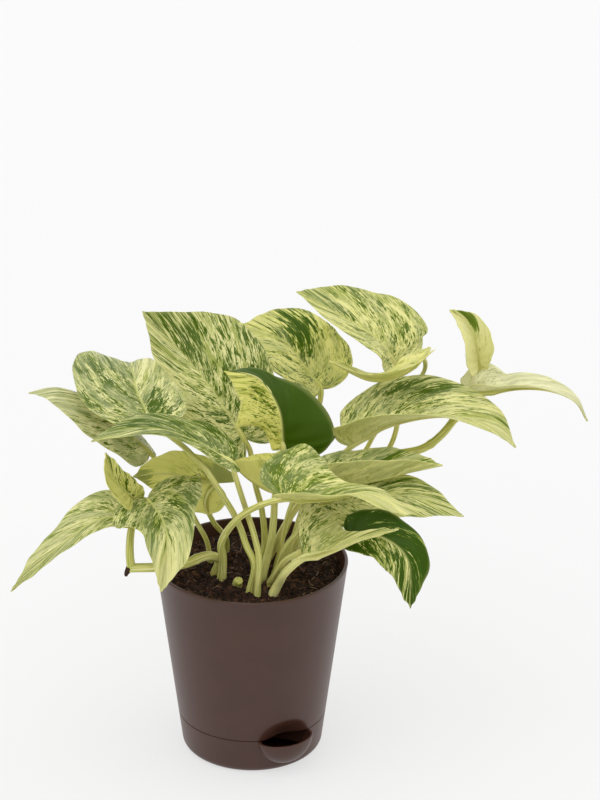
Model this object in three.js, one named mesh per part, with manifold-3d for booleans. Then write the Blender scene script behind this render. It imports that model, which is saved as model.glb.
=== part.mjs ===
// A marbled pothos in a self-watering pot: a tapered pot that nests in a reservoir saucer with a
// watering lip, filled with potting soil, in which the leaf stalks and two leafy vines stand.
// Millimetres, +Z up. The origin is the middle of the saucer's underside.
import * as THREE from "three";
import { mergeVertices } from "three/addons/utils/BufferGeometryUtils.js";
import Module from "manifold-3d";

const wasm = await Module();
wasm.setup();

// ---- pot and saucer ----
const POT_HEIGHT = 132.5;
const RIM_RADIUS = 62;
const BASE_RADIUS = 45.3; // where the straight taper would meet the ground
const BASE_ROUND = 5; // rounding at the saucer's lower edge
const WALL = 2.2;
const SEAM_HEIGHT = 25; // where the pot meets the saucer
const SEAM_GAP = 0.3;
const INSERT_TOP_RADIUS = 45.2; // the pot's narrower lower part, inside the saucer
const INSERT_BOTTOM_RADIUS = 43.6;
const POT_FLOOR = 12;
const FLOOR_THICKNESS = 2;
const WELL_RADIUS = 14; // the wick well under the pot's floor
const WELL_BOTTOM = 3.2;
const SAUCER_FLOOR = 2.6;
const DRAIN_HOLES = 5;
const DRAIN_RADIUS = 2.5;
const DRAIN_CIRCLE = 26;
const RIM_EDGE = 0.8; // softened corner at the top of the wall
const ROUND_STEPS = 36;

// ---- watering lip ----
const LIP_AZIMUTH = 28; // degrees round from -Y towards +X
const LIP_HALF_WIDTH = 19;
const LIP_REACH = 11; // how far the lip stands out from the wall
const LIP_DEPTH = 17; // how far its bowl runs down the saucer
const DISH_HEIGHT = 15; // how far the dish above it runs up the pot
const DISH_DEPTH = 4;
const THROAT_DEPTH = 9.8; // how far the pot is set back below the dish, behind the mouth
const LIP_WALL = 1.8;

// ---- soil ----
const SOIL_TOP = 124;
const SOIL_EDGE = 119; // its level where it meets the wall, before mounding
const MOUND = 2.5; // how much higher the middle lies than the edge
const MOUND_SINK = 1.5;
const BUMP = 1.2; // height of the broad bumps
const SMALL_BUMP = 0.8;
const SOIL_GAP = 0.3;
const SOIL_RINGS = 6;
const ROOT_DEPTH = 12; // how deep each stalk stands in its hole
const UPRIGHT = 3; // each stalk rises straight this far over the soil's level
const HOLE_CLEARANCE = 0.35;
const HOLE_DEEPER = 0.6; // room under the stalk's foot
const STEM_SIDES = 6;
const STEM_STEPS = 1.3; // stations of a stem for each point of its course

// ---- leaves ----
const BLADE_THICKNESS = 0.9;
const RIDGE_THICKNESS = 1.7; // over the midrib, towards the underside
const BASAL_SHARE = 0.27; // share of the outline whose veins leave from the leaf's base
const VEIN_BOW = 0.14; // how far the side veins bow towards the tip
const BOW_LIMIT = 0.3; // and at most this share of their reach out from the midrib
const BOW_SHARES = [0.1, 0.4]; // shares of the outline over which that bow sets in
const STALK_SHARE = 0.05; // share of the outline hidden where the stalk joins
const UNDER_SHARE = 0.12; // how far along the midrib the stalk runs on under the blade
const RIPPLE = 0.9; // height of the ripple along the margin
const OUTLINE_STEPS = 11;
const WIDE_HALF = 25; // a blade with a half wider than this takes three steps along each vein

// Half of a heart-shaped, pointed outline, from the stalk round the basal lobe to the tip:
// along the midrib in leaf lengths, and out from it in half widths.
const OUTLINE = [
  [0, 0], [-0.06, 0.1], [-0.115, 0.3], [-0.1, 0.58], [0, 0.85], [0.16, 1],
  [0.36, 1], [0.56, 0.86], [0.74, 0.6], [0.88, 0.29], [0.96, 0.08], [1, 0],
];

// Each leaf: rib = points along its midrib from stalk to tip; face = the way its upper side looks;
// half, fold, curl, lobe and slim = half width, V-fold in degrees (at 0, 0.2, 0.5 and 1 of the
// length where four are given), turn across the half in degrees, length of the basal lobe and
// narrowing towards the tip, each for the two halves of the blade.
const LEAVES = {
  left_low: {
    rib: [[-74, -22, 174], [-97, -26, 173], [-123, -30, 155], [-153, -34, 126]],
    face: [0.15, -0.3, 0.9], half: [11, 20], fold: [12, 14], curl: [-10, 0], slim: [0.3, 0.35],
  },
  left_front: {
    rib: [[-65, -30, 190], [-55, -52, 187], [-51, -72, 179], [-55, -80, 150]],
    face: [-0.1, -0.55, 0.8], faceTip: [0.15, -0.9, 0.2],
    half: [37, 29], fold: [[0, 10, 20, 45], [8, 12, 20, 45]], curl: [0, -15], slim: [0.45, 0.4],
  },
  left_young: {
    rib: [[-74, -28, 189], [-85, -30, 203], [-91, -26, 220]],
    face: [0.45, -0.6, 0.5], half: [14, 10], fold: [30, 50], curl: [0, 10],
  },
  left_back: {
    rib: [[-63, -8, 234], [-73, 22, 240], [-79, 62, 242], [-84, 88, 229]],
    face: [0.2, -0.35, 0.93], faceTip: [0.1, 0.2, 0.9],
    half: [44, 27], fold: [12, 26], curl: [2, -20], slim: [0, 0.2],
  },
  left_under: {
    rib: [[-65, 0, 209], [-92, 8, 233], [-120, 14, 246], [-142, 16, 242]],
    face: [0.1, -0.3, 0.93], half: [19, 20], fold: [-4, -40], lobe: [0.3, 0.5], slim: [-0.45, 0],
  },
  left_long: {
    rib: [[-12, -44, 223], [-35, -43, 237], [-64, -47, 247], [-98, -52, 240]],
    face: [0.1, -0.1, 0.97], half: [19, 31], fold: [15, 0], curl: [0, -10],
    lobe: [0.6, 0.4], slim: [0, 0.25],
  },
  left_shade: {
    rib: [[-23, -20, 197], [-39, -15, 199], [-58, -12, 200], [-75, -12, 197]],
    face: [-0.1, 0.95, 0.25], half: [18, 32], fold: [5, 5], lobe: [2.4, 1.3],
  },
  top_left: {
    rib: [[-5, 16, 211], [-28, 39, 237], [-48, 60, 253], [-72, 72, 275]],
    face: [-0.35, -0.8, 0.45], half: [29, 39], fold: [4, 12], curl: [0, -10], slim: [0.1, -0.25],
  },
  top_centre: {
    rib: [[44, 58, 227], [31, 64, 244], [18, 70, 257], [-7, 74, 266]],
    face: [0.05, -0.6, 0.8], half: [22, 34], fold: [[40, 40, 35, 5], 0], curl: [0, -10],
    lobe: [0.2, 0.6], slim: [-0.8, 0],
  },
  centre_glossy: {
    rib: [[20, 4, 210], [17, 4, 237], [4, -3, 261], [-17, -14, 271]],
    face: [0.1, -0.95, 0.3], half: [9, 36], fold: [[15, 10, 10, 10], [10, 0, -45, -85]],
    curl: [-5, -10], lobe: [0.1, 1], slim: [-2.8, 0.6],
  },
  top_right: {
    rib: [[91, 54, 247], [84, 54, 261], [62, 54, 277], [28, 56, 296]],
    face: [0.25, -0.6, 0.75], half: [19, 38], fold: [35, 0], curl: [0, -12],
    lobe: [0.3, 1], slim: [-0.4, 0.2],
  },
  right_young: {
    rib: [[109, 32, 261], [93, 25, 252], [74, 27, 248], [49, 38, 256]],
    face: [0, 0.1, 0.95], half: [13, 12], fold: [30, 8],
  },
  right_large: {
    rib: [[63, 14, 207], [85, 14, 222], [120, 14, 229], [151, 10, 224], [168, 6, 210]],
    face: [0, -0.05, 1], half: [38, 27], fold: [[20, 20, 20, 15], [66, 42, 26, 5]],
    curl: [-5, 0], lobe: [0.2, 0.3],
  },
  right_upright: {
    rib: [[146, 54, 245], [143, 52, 263], [137, 54, 276], [126, 58, 283]],
    face: [0.1, -0.9, 0.3], half: [14, 8], fold: [[55, 50, 50, 40], [35, 35, 35, 40]],
    lobe: [0.4, 0.4], slim: [0, -0.7],
  },
  right_far: {
    rib: [[145, 48, 230], [169, 44, 236], [191, 40, 236], [208, 37, 229], [216, 36, 215]],
    face: [0, -0.05, 0.98], half: [20, 18], fold: [[80, 0, -5, -10], [45, 27, 27, 10]],
    lobe: [1, 0.5],
  },
  front_centre: {
    rib: [[21, -52, 202], [46, -54, 203], [74, -56, 207], [103, -60, 195]],
    face: [0, -0.05, 1], half: [41, 28], fold: [[34, 34, 10, 5], [34, 34, 28, -20]],
    lobe: [1.6, 0.6], slim: [0.75, 0.1],
  },
  right_folded: {
    rib: [[45, -13, 194], [72, -14, 196], [97, -18, 204], [120, -24, 212]],
    face: [0, 0, 1], half: [24, 24], fold: [30, 54],
  },
  right_low: {
    rib: [[42, -16, 179], [69, -18, 185], [99, -24, 190], [134, -32, 180]],
    face: [0, -0.4, 0.92], half: [20, 22], fold: [5, 5], curl: [-10, -10], lobe: [0.5, 1],
  },
  right_dark: {
    rib: [[60, -54, 178], [83, -62, 179], [98, -70, 167], [100, -74, 136]],
    face: [0.1, -0.75, 0.6], half: [16, 12], fold: [8, 8], lobe: [0.3, 0.5], slim: [0, -0.5],
  },
  front_curled: {
    rib: [[33, -58, 164], [50, -64, 173], [69, -74, 186], [91, -82, 196]],
    face: [-0.05, -0.1, 1], half: [38, 20], fold: [40, [25, 25, 15, 10]],
    lobe: [0.25, 0.25], slim: [0.85, 0.3],
  },
  centre_folded: {
    rib: [[27, -16, 190], [13, -16, 190], [-1, -18, 199], [-13, -20, 212]],
    face: [0, 0.1, 1], half: [27, 25], fold: [66, 55],
  },
};

// Stalks that rise from the soil: where each one enters it (x, y), the points of its course up to
// the leaf, and its radius at the root and at the leaf.
const STALKS = {
  left_back: {
    root: [-1, -35], radius: [2.2, 1.6],
    path: [[2, -35, 146], [-3, -33, 159], [-7, -31, 171], [-12, -30, 182], [-19, -33, 196],
      [-27, -36, 212], [-35, -33, 220], [-44, -24, 225], [-63, -8, 233]],
  },
  left_under: {
    root: [-27, 6], radius: [1.7, 1.3],
    path: [[-29, 0, 145], [-36, 0, 160], [-48, 3, 184], [-65, 0, 208]],
  },
  left_long: {
    root: [4, -38], radius: [2.1, 1.6],
    path: [[5, -36, 150], [2, -33, 166], [-3, -30, 182], [-7, -34, 198], [-10, -40, 212],
      [-12, -44, 222]],
  },
  left_shade: {
    root: [-17, 20], radius: [1.8, 1.5],
    path: [[-17, 12, 142], [-24, 0, 158], [-29, -12, 177], [-27, -18, 189], [-23, -20, 196]],
  },
  top_left: {
    root: [5, 2], radius: [2.2, 1.6],
    path: [[8, 5, 144], [6, 12, 163], [2, 15, 179], [-1, 17, 200], [-5, 16, 210]],
  },
  top_centre: {
    root: [14, 20], radius: [2.1, 1.6],
    path: [[24, 26, 148], [31, 34, 173], [40, 50, 205], [44, 58, 226]],
  },
  centre_glossy: {
    root: [7, -12], radius: [2.7, 1.8],
    path: [[12, -6, 146], [14, 0, 161], [15, 6, 176], [19, 6, 197], [20, 4, 209]],
  },
  top_right: {
    root: [27, 14], radius: [2, 1.5],
    path: [[39, 20, 144], [54, 28, 158], [74, 40, 172], [88, 50, 187], [94, 58, 202],
      [95, 64, 223], [91, 55, 246]],
  },
  right_young: {
    root: [21, 22], radius: [1.7, 1.3],
    path: [[34, 28, 147], [50, 34, 162], [71, 46, 185], [80, 54, 198], [98, 60, 221],
      [110, 51, 242], [109, 32, 260]],
  },
  right_large: {
    root: [10, 10], radius: [2.4, 1.7],
    path: [[18, 10, 145], [24, 12, 156], [35, 14, 172], [51, 17, 190], [63, 14, 206]],
  },
  front_centre: {
    root: [-19, -18], radius: [2.7, 1.7],
    path: [[-18, -20, 142], [-19, -26, 156], [-14, -36, 172], [-5, -42, 185], [7, -48, 195],
      [21, -52, 201]],
  },
  right_folded: {
    root: [19, -5], radius: [1.6, 1.4],
    path: [[26, -3, 148], [31, -2, 166], [36, -3, 183], [45, -12, 193]],
  },
  right_low: {
    root: [14, -12], radius: [1.8, 1.5],
    path: [[21, -15, 148], [29, -16, 160], [36, -16, 172], [42, -16, 178]],
  },
  right_dark: {
    root: [12, -22], radius: [2, 1.6],
    path: [[21, -32, 147], [31, -42, 159], [46, -52, 173], [60, -54, 177]],
  },
  front_curled: {
    root: [14, -38], radius: [2.8, 2.2],
    path: [[18, -39, 136], [23, -48, 149], [33, -58, 163]],
  },
  centre_folded: {
    root: [15, -3], radius: [1.5, 1.3],
    path: [[19, -8, 147], [23, -14, 171], [27, -16, 185], [27, -16, 190]],
  },
};

// Vines: a root, a course, and the short stalks that branch off it to their leaves.
const VINES = {
  left_vine: {
    root: [-23, -10], radius: [3.1, 2.9],
    path: [[-20, -13, 138], [-25, -17, 143], [-31, -22, 145], [-41, -27, 143], [-50, -31, 143],
      [-60, -31, 142], [-76, -30, 141]],
    branches: [
      { path: [[-76, -30, 139], [-77, -29, 152], [-76, -27, 166], [-74, -23, 173]],
        radius: [2.8, 2], leaf: "left_low" },
      { path: [[-74, -25, 172], [-69, -26, 183], [-65, -29, 189]],
        radius: [1.7, 1.4], leaf: "left_front" },
      { path: [[-75, -25, 171], [-75, -27, 180], [-74, -28, 187]],
        radius: [1.4, 1.2], leaf: "left_young" },
    ],
  },
  right_vine: {
    root: [22, 6], radius: [2.9, 2.5],
    path: [[33, 8, 150], [47, 10, 167], [64, 14, 184], [85, 18, 197], [108, 24, 200],
      [121, 32, 206], [132, 42, 216], [139, 47, 224], [145, 48, 229]],
    branches: [
      { path: [], radius: [], leaf: "right_far" },
      { path: [[135, 44, 219], [142, 56, 228], [146, 54, 244]],
        radius: [1.4, 1.2], leaf: "right_upright" },
    ],
  },
};

const STUB = { root: [-9, -24], path: [[-8, -27, 131]], radius: [3, 2.4] }; // a cut, pruned stem

const radians = THREE.MathUtils.degToRad;
const vector = (p) => new THREE.Vector3(...p);

// ---- solids ----
function solidOf(geometry) {
  const bare = new THREE.BufferGeometry();
  bare.setAttribute("position", geometry.getAttribute("position"));
  bare.setIndex(geometry.getIndex());
  const merged = mergeVertices(bare, 1e-4);
  return new wasm.Manifold(new wasm.Mesh({
    numProp: 3,
    vertProperties: merged.attributes.position.array,
    triVerts: new Uint32Array(merged.index.array),
  }));
}

function geometryOf(solid) {
  const mesh = solid.getMesh();
  const positions = new Float32Array(mesh.numVert * 3);
  for (let i = 0; i < mesh.numVert; i++) {
    const from = i * mesh.numProp;
    positions.set(mesh.vertProperties.subarray(from, from + 3), i * 3);
  }
  const geometry = new THREE.BufferGeometry();
  geometry.setAttribute("position", new THREE.BufferAttribute(positions, 3));
  geometry.setIndex(new THREE.BufferAttribute(new Uint32Array(mesh.triVerts), 1));
  geometry.computeVertexNormals();
  return geometry;
}

function fromArrays(points, triangles) {
  const geometry = new THREE.BufferGeometry();
  geometry.setAttribute("position", new THREE.Float32BufferAttribute(points.flat(), 3));
  geometry.setIndex(triangles.flat());
  return geometry;
}

// A solid of revolution about +Z from [radius, height] points, bottom to top.
function lathed(profile) {
  const points = profile.map((p) => new THREE.Vector2(...p));
  return new THREE.LatheGeometry(points, ROUND_STEPS).rotateX(Math.PI / 2);
}

const turned = (profile) => solidOf(lathed(profile));

function slab(bottom, top) {
  const reach = 4 * RIM_RADIUS;
  const box = new THREE.BoxGeometry(reach, reach, top - bottom);
  return solidOf(box.translate(0, 0, (bottom + top) / 2));
}

// ---- pot ----
const wallRadius = (z) => BASE_RADIUS + ((RIM_RADIUS - BASE_RADIUS) * z) / POT_HEIGHT;

// A piece made round the lip's own axes, with the wall at the seam as its middle, turned into place.
function atLip(geometry) {
  const wall = wallRadius(SEAM_HEIGHT);
  geometry.translate(0, -wall, 0);
  return solidOf(geometry.rotateZ(radians(LIP_AZIMUTH)));
}

function lipEllipsoid(grow, reach, height) {
  const ball = new THREE.SphereGeometry(1, 24, 14).rotateX(Math.PI / 2);
  ball.scale(LIP_HALF_WIDTH + grow, reach + grow, height + grow);
  return atLip(ball.translate(0, 0, SEAM_HEIGHT));
}

function throat(grow) {
  const bottom = POT_FLOOR - 2 * FLOOR_THICKNESS;
  const top = SEAM_HEIGHT + SEAM_GAP + grow;
  const tube = new THREE.CylinderGeometry(1, 1, top - bottom, 24).rotateX(Math.PI / 2);
  tube.scale(LIP_HALF_WIDTH + grow, THROAT_DEPTH + grow, 1);
  return atLip(tube.translate(0, 0, (bottom + top) / 2));
}

function scoop(grow) {
  const dish = lipEllipsoid(grow, DISH_DEPTH, DISH_HEIGHT);
  return dish.intersect(slab(SEAM_HEIGHT, POT_HEIGHT)).add(throat(grow));
}

function potEnvelope() {
  const shoulder = SEAM_HEIGHT + SEAM_GAP;
  return turned([
    [0, WELL_BOTTOM], [WELL_RADIUS, WELL_BOTTOM], [WELL_RADIUS, POT_FLOOR],
    [INSERT_BOTTOM_RADIUS, POT_FLOOR], [INSERT_TOP_RADIUS, shoulder],
    [wallRadius(shoulder), shoulder], [wallRadius(POT_HEIGHT - RIM_EDGE), POT_HEIGHT - RIM_EDGE],
    [RIM_RADIUS - RIM_EDGE, POT_HEIGHT], [0, POT_HEIGHT],
  ]);
}

// The outline of the space inside the pot, drawn in by a gap.
function insideProfile(gap) {
  const floor = POT_FLOOR + FLOOR_THICKNESS + gap;
  const well = WELL_RADIUS - FLOOR_THICKNESS - gap;
  const step = SEAM_HEIGHT + SEAM_GAP + WALL;
  return [
    [0, WELL_BOTTOM + FLOOR_THICKNESS + gap], [well, WELL_BOTTOM + FLOOR_THICKNESS + gap],
    [well, floor], [INSERT_BOTTOM_RADIUS - WALL - gap, floor],
    [INSERT_TOP_RADIUS - WALL - gap, step + gap], [wallRadius(step) - WALL - gap, step + gap],
    [RIM_RADIUS - WALL - gap, POT_HEIGHT + 1], [0, POT_HEIGHT + 1],
  ];
}

function drainHole(index) {
  const hole = new THREE.CylinderGeometry(DRAIN_RADIUS, DRAIN_RADIUS, 4 * FLOOR_THICKNESS, 10);
  hole.rotateX(Math.PI / 2).translate(DRAIN_CIRCLE, 0, POT_FLOOR);
  return solidOf(hole.rotateZ((2 * Math.PI * (index + 0.5)) / DRAIN_HOLES));
}

function potSolid() {
  let pot = potEnvelope().subtract(turned(insideProfile(0)));
  pot = pot.add(scoop(LIP_WALL).intersect(potEnvelope()));
  pot = pot.subtract(scoop(0));
  for (let i = 0; i < DRAIN_HOLES; i++) pot = pot.subtract(drainHole(i));
  return pot;
}

function saucerSolid() {
  const round = [];
  for (let i = 0; i <= 3; i++) {
    const angle = (i / 3) * (Math.PI / 2);
    const out = BASE_ROUND * (1 - Math.sin(angle));
    const up = BASE_ROUND * (1 - Math.cos(angle));
    round.push([wallRadius(up) - out, up]);
  }
  const body = turned([[0, 0], ...round, [wallRadius(SEAM_HEIGHT), SEAM_HEIGHT], [0, SEAM_HEIGHT]]);
  const inner = wallRadius(SEAM_HEIGHT) - WALL;
  const inside = turned([
    [0, SAUCER_FLOOR], [BASE_RADIUS - BASE_ROUND, SAUCER_FLOOR],
    [BASE_RADIUS - WALL, SAUCER_FLOOR + BASE_ROUND], [inner, SEAM_HEIGHT + 1],
    [0, SEAM_HEIGHT + 1],
  ]);
  const below = slab(0, SEAM_HEIGHT);
  const bowl = lipEllipsoid(0, LIP_REACH, LIP_DEPTH).intersect(below);
  const mouth = lipEllipsoid(-LIP_WALL, LIP_REACH, LIP_DEPTH)
    .intersect(slab(SAUCER_FLOOR, POT_HEIGHT));
  return body.add(bowl).subtract(inside).subtract(mouth);
}

// ---- stems ----
const curveThrough = (points) =>
  new THREE.CatmullRomCurve3(points.map(vector), false, "catmullrom", 0.5);

// A closed rod of STEM_SIDES sides through the stations, its radius running from first to last.
function rod(stations, [first, last]) {
  const steps = stations.length - 1;
  const rows = [];
  const triangles = [];
  let across = new THREE.Vector3(1, 0, 0);
  stations.forEach((centre, i) => {
    const ahead = stations[Math.min(i + 1, steps)];
    const tangent = ahead.clone().sub(stations[Math.max(i - 1, 0)]).normalize();
    across = across.clone().addScaledVector(tangent, -across.dot(tangent)).normalize();
    const other = new THREE.Vector3().crossVectors(tangent, across);
    const radius = first + ((last - first) * i) / steps;
    for (let k = 0; k < STEM_SIDES; k++) {
      const angle = (2 * Math.PI * k) / STEM_SIDES;
      rows.push(centre.clone()
        .addScaledVector(across, radius * Math.cos(angle))
        .addScaledVector(other, radius * Math.sin(angle)).toArray());
      if (i === steps) continue;
      const a = i * STEM_SIDES + k;
      const b = i * STEM_SIDES + ((k + 1) % STEM_SIDES);
      triangles.push([a, b, b + STEM_SIDES], [a, b + STEM_SIDES, a + STEM_SIDES]);
    }
  });
  const top = steps * STEM_SIDES;
  for (let k = 1; k < STEM_SIDES - 1; k++) {
    triangles.push([0, k + 1, k], [top, top + k, top + k + 1]);
  }
  return solidOf(fromArrays(rows, triangles));
}

const alongCurve = (points) =>
  curveThrough(points).getSpacedPoints(Math.ceil(STEM_STEPS * (points.length - 1)));

const rootEnds = ([x, y], deeper) =>
  [vector([x, y, SOIL_TOP - ROOT_DEPTH - deeper]), vector([x, y, SOIL_TOP + UPRIGHT])];

// A stem stands upright in the soil and follows its course from just above it.
const stemStations = ({ root, path }, end = []) =>
  [rootEnds(root, 0)[0], ...alongCurve([[...root, SOIL_TOP + UPRIGHT], ...path, ...end])];

function holeFor({ root, radius }) {
  const wide = radius[0] + HOLE_CLEARANCE / Math.cos(Math.PI / STEM_SIDES);
  return rod(rootEnds(root, HOLE_DEEPER), [wide, wide]);
}

// ---- leaf blades ----
const outline = curveThrough(OUTLINE.map(([x, y]) => [x, y, 0]));

const veinRoot = (t) => Math.max(0, (t - BASAL_SHARE) / (1 - BASAL_SHARE)) ** 2;

function mix(stops, values, x) {
  const at = THREE.MathUtils.clamp(x, 0, 1);
  for (let i = 1; i < stops.length; i++) {
    if (at > stops[i]) continue;
    const share = (at - stops[i - 1]) / (stops[i] - stops[i - 1]);
    return values[i - 1] + (values[i] - values[i - 1]) * share;
  }
  return values[values.length - 1];
}

// The flat place of a point on one half of the blade: t runs along the outline from stalk to tip,
// v along the side vein from the midrib to the margin.
function flatPoint(leaf, side, t, v, length) {
  const edge = outline.getPoint(t);
  const lobe = (leaf.lobe ?? [1, 1])[side];
  const along = edge.x < 0 ? edge.x * lobe : edge.x;
  const ease = THREE.MathUtils.smoothstep(along, 0.05, 0.55);
  const narrow = 1 - (leaf.slim ?? [0, 0])[side] * ease;
  const start = new THREE.Vector2(veinRoot(t) * length, 0);
  const end = new THREE.Vector2(along * length, edge.y * leaf.half[side] * narrow);
  const span = end.clone().sub(start);
  const bow = VEIN_BOW * THREE.MathUtils.smoothstep(t, ...BOW_SHARES);
  const bend = new THREE.Vector2(-bow * span.y, Math.min(bow * span.x, BOW_LIMIT * span.y));
  const middle = start.clone().addScaledVector(span, 0.5).add(bend);
  const vein = new THREE.QuadraticBezierCurve(start, middle, end);
  return vein.getPoint(v);
}

// The blade's upper surface over a flat point, with the direction its upper side looks there.
function bladePoint(leaf, rib, length, side, t, v) {
  const flat = flatPoint(leaf, side, t, v, length);
  const out = Math.max(flat.y, 0);
  const along = THREE.MathUtils.clamp(flat.x, 0, length);
  const tangent = rib.getTangentAt(along / length);
  const centre = rib.getPointAt(along / length).addScaledVector(tangent, flat.x - along);
  const face = vector(leaf.face).lerp(vector(leaf.faceTip ?? leaf.face), along / length);
  face.addScaledVector(tangent, -face.dot(tangent)).normalize();
  const across = new THREE.Vector3().crossVectors(tangent, face);
  const folds = [leaf.fold[side]].flat();
  const fold = folds.length > 1 ? mix([0, 0.2, 0.5, 1], folds, along / length) : folds[0];
  const angle = radians(fold);
  const turn = radians((leaf.curl ?? [0, 0])[side]);
  const half = leaf.half[side];
  let reach = out * Math.cos(angle);
  let rise = out * Math.sin(angle);
  if (Math.abs(turn) > 1e-4) {
    reach = (half / turn) * (Math.sin(angle + (turn * out) / half) - Math.sin(angle));
    rise = (-half / turn) * (Math.cos(angle + (turn * out) / half) - Math.cos(angle));
  }
  rise += RIPPLE * Math.sin(4 * Math.PI * t + 2 * side) * (out / half) ** 2;
  return centre.addScaledVector(across, side ? reach : -reach).addScaledVector(face, rise);
}

function bladeSolid(leaf) {
  const rib = curveThrough(leaf.rib);
  const length = rib.getLength();
  const points = [];
  const found = new Map();
  const veinSteps = Math.max(...leaf.half) > WIDE_HALF ? 3 : 2;
  const vertex = (side, i, j) => {
    const t = STALK_SHARE + ((1 - STALK_SHARE) * i) / (OUTLINE_STEPS - 1);
    const last = i === OUTLINE_STEPS - 1;
    const onRib = j === 0 || last;
    const key = onRib ? "rib" + (last ? 1 : veinRoot(t)) : [side, i, j].join();
    if (!found.has(key)) {
      found.set(key, points.length);
      const place = bladePoint(leaf, rib, length, side, t, last ? 1 : j / veinSteps);
      points.push({ place, thick: onRib && !last ? RIDGE_THICKNESS : BLADE_THICKNESS });
    }
    return found.get(key);
  };
  const top = [];
  for (const side of [0, 1]) {
    for (let i = 0; i < OUTLINE_STEPS - 1; i++) {
      for (let j = 0; j < veinSteps; j++) {
        const [a, b] = [vertex(side, i, j), vertex(side, i, j + 1)];
        const [c, d] = [vertex(side, i + 1, j + 1), vertex(side, i + 1, j)];
        for (const face of [[a, b, c], [a, c, d]]) {
          if (new Set(face).size === 3) top.push(side ? face : face.reverse());
        }
      }
    }
  }
  return thickened(points, top);
}

// Gives the open surface its thickness: an underside with the same triangles, and a closed margin.
function thickened(points, top) {
  const count = points.length;
  const normals = points.map(() => new THREE.Vector3());
  for (const [a, b, c] of top) {
    const edge = points[b].place.clone().sub(points[a].place);
    const normal = edge.cross(points[c].place.clone().sub(points[a].place));
    for (const i of [a, b, c]) normals[i].add(normal);
  }
  const under = points.map(({ place, thick }, i) =>
    place.clone().addScaledVector(normals[i].normalize(), -thick).toArray());
  const edges = new Set(top.flatMap(([a, b, c]) => [a + "," + b, b + "," + c, c + "," + a]));
  const rim = [];
  for (const edge of edges) {
    const [a, b] = edge.split(",").map(Number);
    if (!edges.has(b + "," + a)) rim.push([b, a, a + count], [b, a + count, b + count]);
  }
  const below = top.map(([a, b, c]) => [a + count, c + count, b + count]);
  return solidOf(fromArrays(
    [...points.map((p) => p.place.toArray()), ...under], [...top, ...below, ...rim]));
}

// The last stretch of a stalk runs on under the blade as the root of its midrib.
function underRib(leaf) {
  const rib = curveThrough(leaf.rib);
  const tangent = rib.getTangentAt(UNDER_SHARE);
  const face = vector(leaf.face);
  face.addScaledVector(tangent, -face.dot(tangent)).normalize();
  return rib.getPointAt(UNDER_SHARE).addScaledVector(face, -RIDGE_THICKNESS).toArray();
}

// The largest body of a joined solid: a folded blade can leave a crumb beside it.
function mainBody(solid) {
  const bodies = solid.decompose();
  return bodies.reduce((a, b) => (a.volume() > b.volume() ? a : b));
}

function leafOnStalk(name) {
  const leaf = LEAVES[name];
  const stalk = STALKS[name];
  const stations = stemStations(stalk, [underRib(leaf)]);
  return mainBody(rod(stations, stalk.radius).add(bladeSolid(leaf)));
}

function leafyVine({ root, path, radius, branches }) {
  let vine = rod(stemStations({ root, path }), radius);
  for (const branch of branches) {
    const leaf = LEAVES[branch.leaf];
    const points = branch.path.length ? branch.path : [path[path.length - 1]];
    const radii = branch.path.length ? branch.radius : [radius[1], radius[1] * 0.8];
    const twig = rod(alongCurve([...points, underRib(leaf)]), radii);
    vine = vine.add(twig).add(bladeSolid(leaf));
  }
  return mainBody(vine);
}

// ---- soil ----
const bumps = (x, y) =>
  BUMP * Math.sin(0.17 * x + 1) * Math.cos(0.15 * y) + SMALL_BUMP * Math.sin(0.26 * x + 0.21 * y);

function soilSolid() {
  const edge = wallRadius(SOIL_EDGE) - WALL - SOIL_GAP;
  const profile = insideProfile(SOIL_GAP).slice(0, -2);
  profile.push([edge, SOIL_EDGE]);
  for (let i = 0; i <= SOIL_RINGS; i++) profile.push([edge * (1 - i / SOIL_RINGS), SOIL_TOP]);
  const geometry = lathed(profile);
  const at = geometry.getAttribute("position");
  for (let i = 0; i < at.count; i++) {
    if (at.getZ(i) < SOIL_TOP - 1) continue;
    const [x, y] = [at.getX(i), at.getY(i)];
    const mound = MOUND * (1 - (x * x + y * y) / (edge * edge));
    at.setZ(i, SOIL_TOP - MOUND_SINK + mound + bumps(x, y));
  }
  let soil = solidOf(geometry).subtract(scoop(LIP_WALL + SOIL_GAP));
  const stems = [...Object.values(STALKS), ...Object.values(VINES), STUB];
  for (const stem of stems) soil = soil.subtract(holeFor(stem));
  return soil;
}

// ---- assembly ----
const material = (color, roughness) =>
  new THREE.MeshStandardMaterial({ color, roughness, metalness: 0 });

const MATERIALS = {
  plastic: () => material(0x54403a, 0.5),
  soil: () => material(0x291b13, 1),
  leaf: () => material(0x8fa65a, 0.45),
  stem: () => material(0xa9b45c, 0.5),
};

function piece(name, solid, look) {
  const mesh = new THREE.Mesh(geometryOf(solid), MATERIALS[look]());
  mesh.name = name;
  return mesh;
}

const group = new THREE.Group();
group.add(piece("saucer", saucerSolid(), "plastic"));
group.add(piece("pot", potSolid(), "plastic"));
group.add(piece("soil", soilSolid(), "soil"));
group.add(piece("cut_stub", rod(stemStations(STUB), STUB.radius), "stem"));
for (const name of Object.keys(STALKS)) group.add(piece("leaf_" + name, leafOnStalk(name), "leaf"));
for (const [name, vine] of Object.entries(VINES)) group.add(piece(name, leafyVine(vine), "leaf"));

export default group;
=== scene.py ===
"""A marbled pothos in a self-watering pot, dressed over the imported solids."""
import math

import bpy
import numpy as np
from mathutils import Matrix, Vector, noise


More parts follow.
